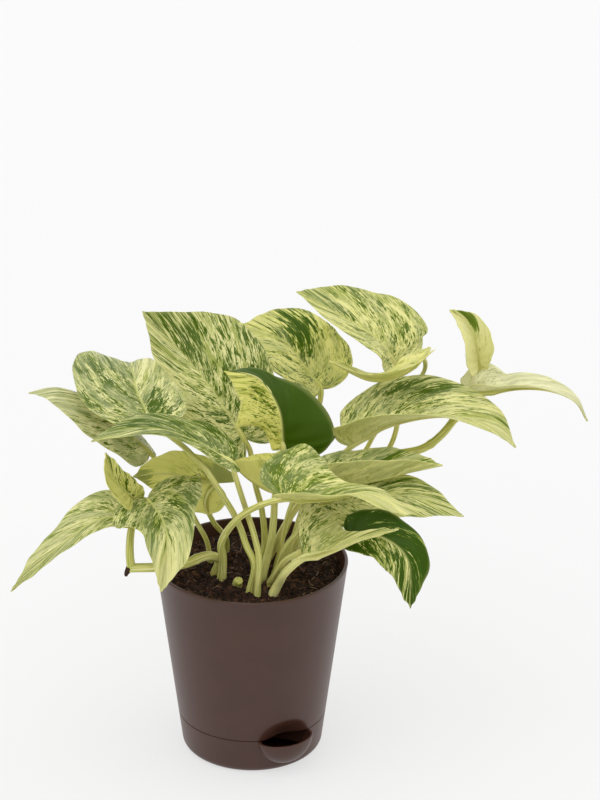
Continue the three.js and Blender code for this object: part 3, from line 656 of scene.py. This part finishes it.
def facing_at(leaf, rib, share):
    """The midrib's direction at a share of its length, and the way the blade faces there."""
    face = np.array(leaf["face"], float)
    tip = np.array(leaf.get("face_tip", leaf["face"]), float)
    tangent = rib.tangent(share)
    facing = face + (tip - face) * np.asarray(share)[..., None]
    return tangent, unit(facing - tangent * (facing * tangent).sum(-1, keepdims=True))


def blade_points(leaf, rib, side, t, v, uneven):
    """The upper surface of one half, and where its points lie in the flat blade."""
    flat = flat_points(leaf, side, t, v, rib.length)
    nicks = sum(depth * np.sin(rate * t + phase * uneven) for rate, depth, phase in NICKS)
    flat[..., 1] += v**3 * nicks * smooth(t, 0.1, 0.2) * (1 - smooth(t, 0.85, 1))
    out = np.maximum(flat[..., 1], 0)
    along = np.clip(flat[..., 0], 0, rib.length)
    share = along / rib.length
    tangent, facing = facing_at(leaf, rib, share)
    centre = rib.point(share) + tangent * (flat[..., 0] - along)[..., None]
    across = np.cross(tangent, facing)
    folds = np.atleast_1d(leaf["fold"][side])
    stations = [0, 0.2, 0.5, 1] if len(folds) > 1 else [0]
    angle = np.radians(np.interp(share, stations, folds))
    turn = math.radians(leaf.get("curl", (0, 0))[side])
    half = leaf["half"][side]
    reach, rise = out * np.cos(angle), out * np.sin(angle)
    if turn:
        bent = angle + turn * out / half
        reach = half / turn * (np.sin(bent) - np.sin(angle))
        rise = -half / turn * (np.cos(bent) - np.cos(angle))
    rise = rise + RIPPLE * np.sin(4 * np.pi * t + 2 * side) * (out / half) ** 2
    sign = 1 if side else -1
    return centre + across * (sign * reach)[..., None] + facing * rise[..., None], flat


def by_half(leaf, key, across):
    """A value given for each half, or one for both, at points across the leaf."""
    left, right = np.broadcast_to(leaf[key], 2)
    return np.where(across > 0, right, left).astype(float)


def cream_amount(leaf, along, across):
    amount = by_half(leaf, "cream", across)
    for x, y, size, more in leaf.get("patches", []):
        amount += more * np.exp(-((along - x) ** 2 + (0.6 * (across - y)) ** 2) / size**2)
    return amount


def blade_grid(leaf, index):
    """The blade's upper side as points and faces, with its vein and flat coordinates."""
    rib = Course(leaf["rib"])
    t = OUTLINE_START + (1 - OUTLINE_START) * np.linspace(0, 1, OUTLINE_STEPS + 1)
    v = np.linspace(0, 1, VEIN_STEPS + 1) ** 1.5
    grid_t, grid_v = np.meshgrid(t, v, indexing="ij")
    points, veins, flats, ids = [], [], [], []
    shared = {}  # points on the midrib and the tip belong to both halves
    for side in (0, 1):
        place, flat = blade_points(leaf, rib, side, grid_t, grid_v, 1 + 2.3 * index + side)
        sign = 1 if side else -1
        ids.append(np.zeros(grid_t.shape, int))
        for i in range(OUTLINE_STEPS + 1):
            for j in range(VEIN_STEPS + 1):
                tip = i == OUTLINE_STEPS
                key = (tip or vein_root(t[i]),) if j == 0 or tip else (side, i, j)
                if key not in shared:
                    shared[key] = len(points)
                    points.append(place[i, j])
                    out = flat[i, j, 1]
                    veins.append((STREAK_RUN * rib.length * t[i] - STREAK_LEAN * out, sign * out,
                                  LEAF_SEED * index + HALF_SEED * side))
                    flats.append((flat[i, j, 0] / rib.length, sign * out / leaf["half"][side],
                                  grid_v[i, j], t[i]))
                ids[side][i, j] = shared[key]
    faces = []
    for side in (0, 1):
        g = ids[side]
        for i in range(OUTLINE_STEPS):
            for j in range(VEIN_STEPS):
                ring = (g[i, j], g[i, j + 1], g[i + 1, j + 1], g[i + 1, j])
                ring = tuple(dict.fromkeys(int(k) for k in ring))
                if len(ring) > 2:
                    faces.append(ring if side else ring[::-1])
    return np.array(points), faces, np.array(veins), np.array(flats)


def blade(name, leaf, index):
    """A leaf's blade: a closed sheet with its marbling's amounts at each point."""
    points, top, veins, flats = blade_grid(leaf, index)
    along, across, out_share = flats[:, 0], flats[:, 1], flats[:, 2]
    from_rib = veins[:, 1]
    normals = surface_normals(points, top)
    wave = np.array([noise.noise(tuple(WAVE_SCALE * p)) for p in points])
    points = points + normals * (WAVE * wave * (0.25 + 0.75 * out_share))[:, None]
    lift = vein_relief(flats, from_rib)
    upper = points + normals * lift[:, None]
    thick = BLADE_THICKNESS + (RIDGE_THICKNESS - BLADE_THICKNESS) * hill(from_rib, RIDGE_WIDTH)
    thick = thick - (BLADE_THICKNESS - MARGIN_THICKNESS) * smooth(out_share, 0.8, 1)
    under = points + normals * (UNDER_RELIEF * lift - thick)[:, None]
    faces = closed_sheet(top, len(points))
    piece = mesh_object(name, np.vstack([upper, under]), faces, "leaf_top", "leaf_under")
    cream = cream_amount(leaf, along, across)
    paint = np.stack([cream, 0 * cream + leaf["warm"], by_half(leaf, "deep", across)], -1)
    line = RIB_PAINT * hill(from_rib, RIB_PAINT_WIDTH) * (1 - smooth(along, 0.3, 1))
    margin = MARGIN_PAINT * smooth(out_share, 0.97, 1)
    # the first channel is the leaf's share of painted grey-green sheen
    tone = np.stack([0 * cream + leaf.get("painted_sheen", 0), line, margin], -1)
    for key, values in (("vein", veins), ("paint", paint), ("tone", tone)):
        set_vectors(piece, key, np.vstack([values, values]))
    slots = np.zeros(len(piece.data.polygons), np.int32)
    slots[len(top):] = 1
    piece.data.polygons.foreach_set("material_index", slots)
    return piece


def vein_relief(flats, from_rib):
    """Side veins sunk a little into the blade, and a groove along the midrib."""
    window = smooth(flats[:, 2], 0.02, 0.2) * (1 - smooth(flats[:, 2], 0.75, 1))
    quilt = QUILT * window * np.cos(2 * np.pi * SIDE_VEINS * flats[:, 3])
    fading = 1 - smooth(flats[:, 0], 0.6, 1)
    return quilt - GROOVE_DEPTH * fading * hill(from_rib, GROOVE_WIDTH)


def surface_normals(points, faces):
    normals = np.zeros_like(points)
    for size in (3, 4):
        picked = np.array([f for f in faces if len(f) == size])
        if not len(picked):
            continue
        a, b, c, d = (points[picked[:, k]] for k in (0, 1, 2, size - 1))
        across = np.cross(c - a, d - b) if size == 4 else np.cross(b - a, c - a)
        for k in range(size):
            np.add.at(normals, picked[:, k], across)
    return unit(normals)


def closed_sheet(top, count):
    """The faces of a sheet with an underside like its top and a closed margin."""
    edges = set()
    for face in top:
        edges.update(zip(face, face[1:] + face[:1]))
    rim = [(b, a, a + count, b + count) for a, b in sorted(edges) if (b, a) not in edges]
    below = [tuple(k + count for k in face[::-1]) for face in top]
    return list(top) + below + rim


# ---- stems ----
def tube(points, radii, sides=18, seed=0.0, groove=0.0):
    """Points, faces and vein coordinates of a closed rod through dense points."""
    points = np.asarray(points, float)
    tangents = unit(np.gradient(points, axis=0))
    along = np.append(0, np.cumsum(np.linalg.norm(np.diff(points, axis=0), axis=1)))
    side = np.array([1.0, 0, 0])
    rows, veins, faces = [], [], []
    angles = 2 * np.pi * np.arange(sides) / sides
    for i, (centre, tangent) in enumerate(zip(points, tangents)):
        side = unit(side - tangent * side.dot(tangent))
        other = np.cross(tangent, side)
        radius = radii[i] * (1 + groove * np.cos(5 * angles + 0.02 * along[i] + seed))
        ring = radius[:, None] * (np.cos(angles)[:, None] * side + np.sin(angles)[:, None] * other)
        rows.append(centre + ring)
        veins += [(3 * math.cos(a), along[i], seed + 3 * math.sin(a)) for a in angles]
        if i == len(points) - 1:
            continue
        for k in range(sides):
            a, b = i * sides + k, i * sides + (k + 1) % sides
            faces.append((a, b, b + sides, a + sides))
    last = (len(points) - 1) * sides
    faces.append(tuple(range(sides - 1, -1, -1)))
    faces.append(tuple(range(last, last + sides)))
    return np.vstack(rows), faces, veins


def under_rib(leaf, share, radius):
    """The centre of a rod under the blade's midrib."""
    rib = Course(leaf["rib"])
    _, facing = facing_at(leaf, rib, share)
    return rib.point(share) - facing * (BLADE_THICKNESS + radius)


def stalk_parts(stem, seed, leaf=None):
    """A stem's rod, out of the soil if it has a root, and under its leaf's midrib if it has one."""
    points, radius = [*stem["path"]], stem["radius"]
    rooted = "root" in stem
    if rooted:
        points.insert(0, (*stem["root"], SOIL_TOP + 3))
    if leaf:
        start = leaf.get("under", RIB_START)
        points.append(tuple(under_rib(leaf, start, radius[1])))
    line = Course(points)
    dense = line.point(np.linspace(0, 1, max(8, int(line.length / STEM_STEP))))
    if rooted:
        dense = np.vstack([(*stem["root"], SOIL_TOP - ROOT_DEPTH), dense])
    radii = np.linspace(*radius, len(dense))
    if leaf:
        shares = np.linspace(0, 1, len(dense))
        radii = radii * (1 + KNEE_SWELL * hill(shares - KNEE_PLACE, KNEE_WIDTH))
    if rooted:
        height = np.maximum(dense[:, 2] - SOIL_TOP, 0)
        radii = radii * (1 + FOOT_FLARE * hill(height, FOOT_HEIGHT))
    if leaf:
        shares = np.linspace(start, RIB_END, RIB_STEPS + 1)[1:]
        thin = radius[1] * (1 - RIB_TAPER * np.linspace(1 / RIB_STEPS, 1, RIB_STEPS) ** 0.6)
        dense = np.vstack([dense, [under_rib(leaf, s, r) for s, r in zip(shares, thin)]])
        radii = np.append(radii, thin)
    else:
        run = np.append(0, np.cumsum(np.linalg.norm(np.diff(dense, axis=0), axis=1)))
        from_node = (run + NODE_START) % NODE_SPACING - NODE_START
        radii = radii * (1 + NODE_SWELL * hill(from_node, NODE_WIDTH))
    return tube(dense, radii, seed=seed, groove=STEM_GROOVE)


def joined(name, parts, pale=0.0):
    """One mesh of several closed rods that grow out of each other."""
    piece = mesh_object(name, *merged([part[:2] for part in parts]), "stem")
    veins = [place for part in parts for place in part[2]]
    set_vectors(piece, "vein", veins)
    set_vectors(piece, "paint", np.full((len(veins), 3), pale))
    return piece


def root_tip(path, solid):
    """The dark end of a root in the air."""
    line = Course(path).point(np.linspace(0, 1, TIP_STEPS))
    rows, faces, _ = tube(line, np.linspace(*TIP_RADII, TIP_STEPS))
    tip = mesh_object("root_tip", rows, faces, "fibre")
    set_vectors(tip, "tint", np.full((len(rows), 3), 0.5))
    belongs(tip, "stem", solid)


def plant():
    for index, (name, leaf) in enumerate(STALKED.items()):
        solid = "leaf_" + name
        belongs(blade("blade_" + name, leaf, index), "leaf", solid)
        parts = [stalk_parts(leaf, STALK_SEED * index, leaf)]
        belongs(joined("stalk_" + name, parts, leaf.get("pale", 0)), "stem", solid)
    for number, (name, vine) in enumerate(VINES.items()):
        parts = [stalk_parts(vine, VINE_SEED + number)]
        for k, branch in enumerate(vine["branches"]):
            leaf = LEAVES[branch["leaf"]]
            index = VINE_LEAVES + 5 * number + k
            belongs(blade("blade_" + branch["leaf"], leaf, index), "leaf", name)
            parts.append(stalk_parts(branch, STALK_SEED * index, leaf))
        belongs(joined("stem_" + name, parts), "stem", name)
        if "root_tip" in vine:
            root_tip(vine["root_tip"], name)
    belongs(joined("stub_cut", [stalk_parts(STUB, STUB_SEED)]), "stem", "cut_stub")


# ---- pot and saucer ----
def wall_radius(z):
    return BASE_RADIUS + (RIM_RADIUS - BASE_RADIUS) * z / POT_HEIGHT


def round_angles(fine):
    """Angles round the pot, closer together across the watering lip."""
    lip = math.radians(LIP_AZIMUTH - 90)
    spread = math.radians(LIP_SPREAD)
    close = lip + np.linspace(-spread, spread, fine)
    wide = lip + np.linspace(spread, 2 * math.pi - spread, ROUND_STEPS)[1:-1]
    return np.append(close, wide)


def round_solid(name, angles, rows, *materials, smooth_angle=32):
    """A closed solid round the axis from (radius, height) rows, from a point on the axis to one."""
    steps = len(angles)
    points = [(0, 0, rows[0][1])]
    for radius, height in rows[1:-1]:
        radius, height = np.broadcast_to(radius, steps), np.broadcast_to(height, steps)
        points += np.stack([radius * np.cos(angles), radius * np.sin(angles), height], -1).tolist()
    points.append((0, 0, rows[-1][1]))
    last, bands = len(points) - 1, len(rows) - 3
    faces = []
    for k in range(steps):
        n = (k + 1) % steps
        faces.append((0, 1 + n, 1 + k))
        for i in range(bands):
            a, b = 1 + i * steps + k, 1 + i * steps + n
            faces.append((a, b, b + steps, a + steps))
        faces.append((1 + bands * steps + k, 1 + bands * steps + n, last))
    return mesh_object(name, points, faces, *materials, smooth_angle=smooth_angle)


def arc(radius, height, size, degrees):
    """Rows round an edge's centre, from 0 degrees straight out to 90 straight up."""
    return [(radius + size * math.cos(a), height + size * math.sin(a)) for a in np.radians(degrees)]


def lip_offset(angles):
    """How far round from the lip's middle each angle lies, as a share of the lip's half width."""
    turn = (angles - math.radians(LIP_AZIMUTH - 90) + math.pi) % (2 * math.pi) - math.pi
    return turn * wall_radius(SEAM_HEIGHT) / LIP_HALF_WIDTH


def outer_wall(angles, z):
    """The pot's outer face, dished above the lip."""
    rho = lip_offset(angles) ** 2 + ((z - SEAM_HEIGHT) / DISH_HEIGHT) ** 2
    return wall_radius(z) - DISH_DEPTH * np.maximum(1 - rho, 0) ** DISH_SOFTNESS


def throat_radius(angles, grow=0.0):
    """The pot's wall behind the mouth, set back further than the dish above it."""
    share = np.maximum(1 - (lip_offset(angles) / (1 + grow / LIP_HALF_WIDTH)) ** 2, 0) ** 0.5
    return np.where(share > 0, wall_radius(SEAM_HEIGHT) - (THROAT_DEPTH + grow) * share, RIM_RADIUS)


def insert_radius(z):
    drop = (z - POT_FLOOR) / (SEAM_HEIGHT - POT_FLOOR)
    return INSERT_BOTTOM_RADIUS + (INSERT_TOP_RADIUS - INSERT_BOTTOM_RADIUS) * drop


def insert_wall(angles, z):
    return np.minimum(insert_radius(z), throat_radius(angles))


def inner_wall(angles, z, gap=0.0):
    """The pot's inner face: its plain wall, pushed in behind the dish and the throat."""
    step = SHOULDER + WALL
    shelf = throat_radius(angles, LIP_WALL + gap)
    if z >= step:
        plain = wall_radius(z) - WALL - gap
        dished = outer_wall(angles, z) - LIP_WALL - gap
        over = smooth(z, step, step + LIP_WALL)
        return np.minimum(plain, np.minimum(dished, shelf + over * RIM_RADIUS))
    return np.minimum(insert_radius(z) - WALL - gap, shelf)


def pot():
    angles = round_angles(150)
    inside_floor = POT_FLOOR + FLOOR_THICKNESS
    rim = POT_HEIGHT - RIM_ROUND
    rows = [(0, WELL_BOTTOM), (WELL_RADIUS - 0.6, WELL_BOTTOM), (WELL_RADIUS, WELL_BOTTOM + 0.6),
            (WELL_RADIUS, POT_FLOOR)]
    rows += [(insert_wall(angles, POT_FLOOR + up) - out, POT_FLOOR + up)
             for out, up in ((1, 0), (0.3, 0.3), (0, 1))]
    rows += [(insert_wall(angles, z), z) for z in np.linspace(POT_FLOOR + 2, SHOULDER - 1.2, 12)]
    neck, brow = insert_wall(angles, SHOULDER), outer_wall(angles, SHOULDER)
    rows.append((neck + 0.1, SHOULDER - 0.4))
    rows += [(neck + share * (brow - neck), SHOULDER) for share in (0.12, 0.5, 0.9)]
    for z in (*(SHOULDER + np.array([0.12, 0.4, 0.8])),
              *np.linspace(SHOULDER + 1.4, CLOSE_ROWS_OUTSIDE, 30),
              *np.linspace(OPEN_ROWS, POT_HEIGHT - 3, 8)):
        tuck = SHOULDER_TUCK * max(0, 1 - (z - SHOULDER) / SHOULDER_ROUND)
        rows.append((outer_wall(angles, z) - tuck, z))
    rows += arc(RIM_RADIUS - RIM_ROUND, rim, RIM_ROUND, np.linspace(0, 90, 7))
    rows += arc(RIM_RADIUS - WALL + RIM_ROUND, rim, RIM_ROUND, np.linspace(90, 180, 6))
    for z in (*np.linspace(POT_HEIGHT - 3, OPEN_ROWS, 8),
              *np.linspace(CLOSE_ROWS_INSIDE, SHOULDER + WALL, 24),
              *np.linspace(SHOULDER + WALL - 0.2, inside_floor, 8)):
        rows.append((inner_wall(angles, z), z))
    well = WELL_RADIUS - FLOOR_THICKNESS
    rows += [(well, inside_floor), (well, WELL_BOTTOM + FLOOR_THICKNESS),
             (0, WELL_BOTTOM + FLOOR_THICKNESS)]
    shell = round_solid("pot_shell", angles, rows)
    subtract(shell, drains())
    finish_shell(shell, "pot")


def drains():
    """The five drain holes' cutters, in one mesh."""
    rods = []
    for k in range(DRAIN_HOLES):
        a = 2 * math.pi * (k + 0.5) / DRAIN_HOLES
        x, y = DRAIN_CIRCLE * math.cos(a), DRAIN_CIRCLE * math.sin(a)
        ends = [(x, y, POT_FLOOR - 4), (x, y, POT_FLOOR + 4)]
        rods.append(tube(ends, (DRAIN_RADIUS, DRAIN_RADIUS), sides=24)[:2])
    return mesh_object("drains", *merged(rods))


def subtract(target, tool):
    """Cuts the tool out of the target, and removes the tool."""
    step = target.modifiers.new("difference", "BOOLEAN")
    step.operation, step.solver, step.object = "DIFFERENCE", "EXACT", tool
    bpy.context.view_layer.update()
    graph = bpy.context.evaluated_depsgraph_get()
    mesh = bpy.data.meshes.new_from_object(target.evaluated_get(graph))
    target.modifiers.clear()
    old, target.data = target.data, mesh
    bpy.data.meshes.remove(old)
    bpy.data.objects.remove(tool)


def bowl_radius(angles, z, grow, plain, blend):
    """The plain radius, softly joined with the lip's bowl."""
    across = lip_offset(angles) / (1 + grow / LIP_HALF_WIDTH)
    down = (z - SEAM_HEIGHT) / (LIP_DEPTH + grow)
    share = 1 - across**2 - down**2
    bowl = wall_radius(SEAM_HEIGHT) + (LIP_REACH + grow) * np.sign(share) * np.abs(share) ** 0.5
    lean = np.clip((bowl - plain) / (2 * blend), -1, 1)
    return np.where(lean <= -1, plain, np.where(lean >= 1, bowl,
                    (plain + bowl) / 2 + blend * (lean**2 + 1) / 2))


def saucer():
    angles = round_angles(220)
    low, edge = SAUCER_FLOOR + BASE_ROUND, SEAM_HEIGHT - EDGE_ROUND
    inner = wall_radius(SEAM_HEIGHT) - WALL
    top = bowl_radius(angles, SEAM_HEIGHT, 0, wall_radius(SEAM_HEIGHT), LIP_BLEND)
    mouth = bowl_radius(angles, SEAM_HEIGHT, -LIP_WALL, inner, BOWL_BLEND)
    rows = [(0, 0)]
    rows += [(wall_radius(up) + out, up)
             for out, up in arc(-BASE_ROUND, BASE_ROUND, BASE_ROUND, np.linspace(-90, 0, 9))]
    rows += [(bowl_radius(angles, z, 0, wall_radius(z), LIP_BLEND), z)
             for z in np.linspace(BASE_ROUND + 1, edge, 34)]
    rows += arc(top - EDGE_ROUND, edge, EDGE_ROUND, (30, 60, 90))
    rows += arc(mouth + EDGE_ROUND, edge, EDGE_ROUND, (90, 120, 150))
    for z in np.linspace(edge, low, 26):
        plain = BASE_RADIUS - WALL + (inner - BASE_RADIUS + WALL) * (z - low) / (SEAM_HEIGHT - low)
        rows.append((bowl_radius(angles, z, -LIP_WALL, plain, BOWL_BLEND), z))
    rows += [(BASE_RADIUS - BASE_ROUND, SAUCER_FLOOR), (0, SAUCER_FLOOR)]
    finish_shell(round_solid("saucer_shell", angles, rows), "saucer")


def finish_shell(shell, solid):
    shell.data.shade_smooth()
    shell.data.set_sharp_from_angle(angle=math.radians(32))
    shell.data.materials.clear()
    shell.data.materials.append(MATERIALS["plastic"])
    belongs(shell, "pot_plastic", solid)


# ---- soil ----
def soil_height(x, y):
    edge = wall_radius(SOIL_TOP - 5) - WALL - SOIL_GAP
    mound = MOUND * (1 - (x * x + y * y) / edge**2)
    bumps = 1.2 * np.sin(0.17 * x + 1) * np.cos(0.15 * y) + 0.8 * np.sin(0.26 * x + 0.21 * y)
    return SOIL_TOP - 1.5 + mound + bumps


def crumble(x, y):
    """Lumps of the potting mix, with dark gaps between them and a heap round each stem."""
    lump = 1 - 2.2 * abs(noise.noise((x * 0.1, y * 0.1, 3.0)))
    small = 1 - 2.2 * abs(noise.noise((x * 0.22, y * 0.22, 8.0)))
    fine = noise.noise((x * 0.6, y * 0.6, 5.0))
    heap = sum(math.exp(-((x - a) ** 2 + (y - b) ** 2) / HEAP_SPREAD) for a, b in FEET)
    return 2.1 * lump + 1.9 * small + 1.0 * fine - 2.0 + HEAP_HEIGHT * min(heap, 1)


def soil():
    angles = round_angles(60)
    edge = wall_radius(SOIL_TOP) - WALL - 0.05
    bottom = WELL_BOTTOM + FLOOR_THICKNESS + SOIL_GAP
    low = POT_FLOOR + FLOOR_THICKNESS + SOIL_GAP
    well = WELL_RADIUS - FLOOR_THICKNESS - SOIL_GAP
    step = SHOULDER + WALL + SOIL_GAP
    rows = [(0, bottom), (well, bottom), (well, low)]
    rows += [(inner_wall(angles, z, SOIL_GAP), z)
             for z in (*np.linspace(low, step, 8), *np.linspace(step + 1, CLOSE_ROWS_INSIDE, 20),
                       SOIL_TOP - ROOT_DEPTH)]
    for i in range(SOIL_RINGS, 0, -1):
        r = edge * i / SOIL_RINGS
        x, y = r * np.cos(angles), r * np.sin(angles)
        lumps = np.array([crumble(a, b) for a, b in zip(x, y)])
        rows.append((r, soil_height(x, y) + lumps))
    rows.append((0, soil_height(0, 0)))
    belongs(round_solid("soil_bed", angles, rows, "soil", smooth_angle=180), "soil", "soil")


def spot(draw, reach, lift):
    """A random place a little above the soil."""
    r, a = reach * math.sqrt(draw.random()), 2 * math.pi * draw.random()
    x, y = r * math.cos(a), r * math.sin(a)
    return np.array([x, y, float(soil_height(x, y)) + crumble(x, y) + lift])


def strand(draw, place, hair):
    """The course of a bent strand that lies on the soil."""
    heading = 2 * math.pi * draw.random()
    length = draw.uniform(*(HAIR_LENGTH if hair else STRAND_LENGTH))
    bend = draw.uniform(-1, 1) * length * 0.25
    rise = draw.uniform(-0.2, 0.5) * length * 0.4
    s = np.linspace(-0.5, 0.5, 5)
    ahead = np.array([math.cos(heading), math.sin(heading), 0])
    aside = np.array([-math.sin(heading), math.cos(heading), 0])
    return (place + s[:, None] * length * ahead + (bend * (1 - 4 * s**2))[:, None] * aside
            + np.outer(rise * (s + 0.1), [0, 0, 1]))


def crumb(draw, place):
    """A small uneven block of bark."""
    size = draw.uniform(*CRUMB_SIZE)
    jitter = draw.normal(size=(8, 3))
    corners = np.array([(i, j, k) for i in (-1, 1) for j in (-1, 1) for k in (-1, 1)], float)
    rows = (corners + 0.35 * jitter) * size * CRUMB_SHAPE
    turn = Matrix.Rotation(2 * math.pi * draw.random(), 3, "Z")
    tilt = Matrix.Rotation(draw.uniform(-0.6, 0.6), 3, "X")
    rings = [(0, 1, 3, 2), (4, 6, 7, 5), (0, 4, 5, 1), (2, 3, 7, 6), (0, 2, 6, 4), (1, 5, 7, 3)]
    return rows @ np.array(turn @ tilt).T + place, rings


def fibres():
    """Loose strands and crumbs of bark on the soil, all in one mesh."""
    draw = np.random.default_rng(11)
    edge = wall_radius(SOIL_TOP) - WALL - 2.5
    shapes, tints = [], []
    for k in range(STRANDS):
        hair = k % HAIR_EVERY == 0
        line = strand(draw, spot(draw, edge, 0.25), hair)
        if np.linalg.norm(line[:, :2], axis=1).max() > edge + 1.5:
            continue
        thick = HAIR_RADIUS if hair else draw.uniform(*STRAND_RADIUS)
        shapes.append(tube(line, thick * np.array([0.5, 1, 1, 0.9, 0.4]), sides=5)[:2])
        tints.append(1 if hair else 0.92 * draw.random() ** 1.5)
    for _ in range(CRUMBS):
        shapes.append(crumb(draw, spot(draw, edge, 0.2)))
        tints.append(0.9 * draw.random() ** 1.5)
    piece = mesh_object("soil_fibres", *merged(shapes), "fibre", smooth_angle=40)
    tint = np.repeat(tints, [len(rows) for rows, _ in shapes])
    set_vectors(piece, "tint", np.outer(tint, [1, 0, 0]))
    belongs(piece, "soil", "soil")


# ---- studio ----
def camera():
    turn = (Matrix.Rotation(math.radians(90 - CAMERA_DOWN), 4, "X")
            @ Matrix.Rotation(math.radians(CAMERA_ROLL), 4, "Z"))
    place = Vector(CAMERA_AIM) + turn @ Vector((CAMERA_ASIDE, CAMERA_UP, CAMERA_DISTANCE))
    data = bpy.data.cameras.new("camera")
    data.lens = CAMERA_LENS
    data.sensor_width = 36
    data.clip_end = 50
    made = placed("camera", data)
    made.matrix_world = Matrix.Translation(place * MM) @ turn
    bpy.context.scene.camera = made


def sun(name, strength, spread, towards):
    data = bpy.data.lights.new(name, "SUN")
    data.energy = strength
    data.angle = math.radians(spread)
    placed(name, data).rotation_euler = Vector(towards).to_track_quat("Z", "Y").to_euler()


def studio():
    """A white dome, dimmer low down behind the camera, two broad soft lamps and a pale floor."""
    world = bpy.data.worlds.new("studio")
    bpy.context.scene.world = world
    world.use_nodes = True
    tree = world.node_tree
    ray = channels(tree, node(tree, "TexCoord").outputs["Generated"])
    height = math_node(tree, "MAXIMUM", ray[2], 0)
    lean = node(tree, "Math", {0: height, 1: 0.9, 2: ray[1]}, operation="MULTIPLY_ADD").outputs[0]
    span = {"Value": lean, "From Min": -0.8, "From Max": 0.1, "To Min": SKY_FRONT, "To Max": SKY}
    dome = node(tree, "MapRange", span, interpolation_type="SMOOTHSTEP")
    tree.links.new(dome.outputs[0], tree.nodes["Background"].inputs["Strength"])
    tree.nodes["Background"].inputs["Color"].default_value = (1, 1, 1, 1)
    for name, (strength, spread, towards) in LAMPS.items():
        sun(name, strength, spread, towards)
    r = FLOOR_REACH
    floor = mesh_object("floor", [(-r, -r, 0), (r, -r, 0), (r, r, 0), (-r, r, 0)], [(0, 1, 2, 3)],
                        "floor")
    bpy.context.scene.view_settings.view_transform = "Standard"


MATERIALS = {
    "leaf_top": leaf_material("leaf_top", False),
    "leaf_under": leaf_material("leaf_underside", True),
    "stem": stem_material(),
    "plastic": plastic_material(),
    "soil": soil_material(),
    "fibre": fibre_material(),
    "floor": floor_material(),
}

plant()
pot()
saucer()
soil()
fibres()
camera()
studio()
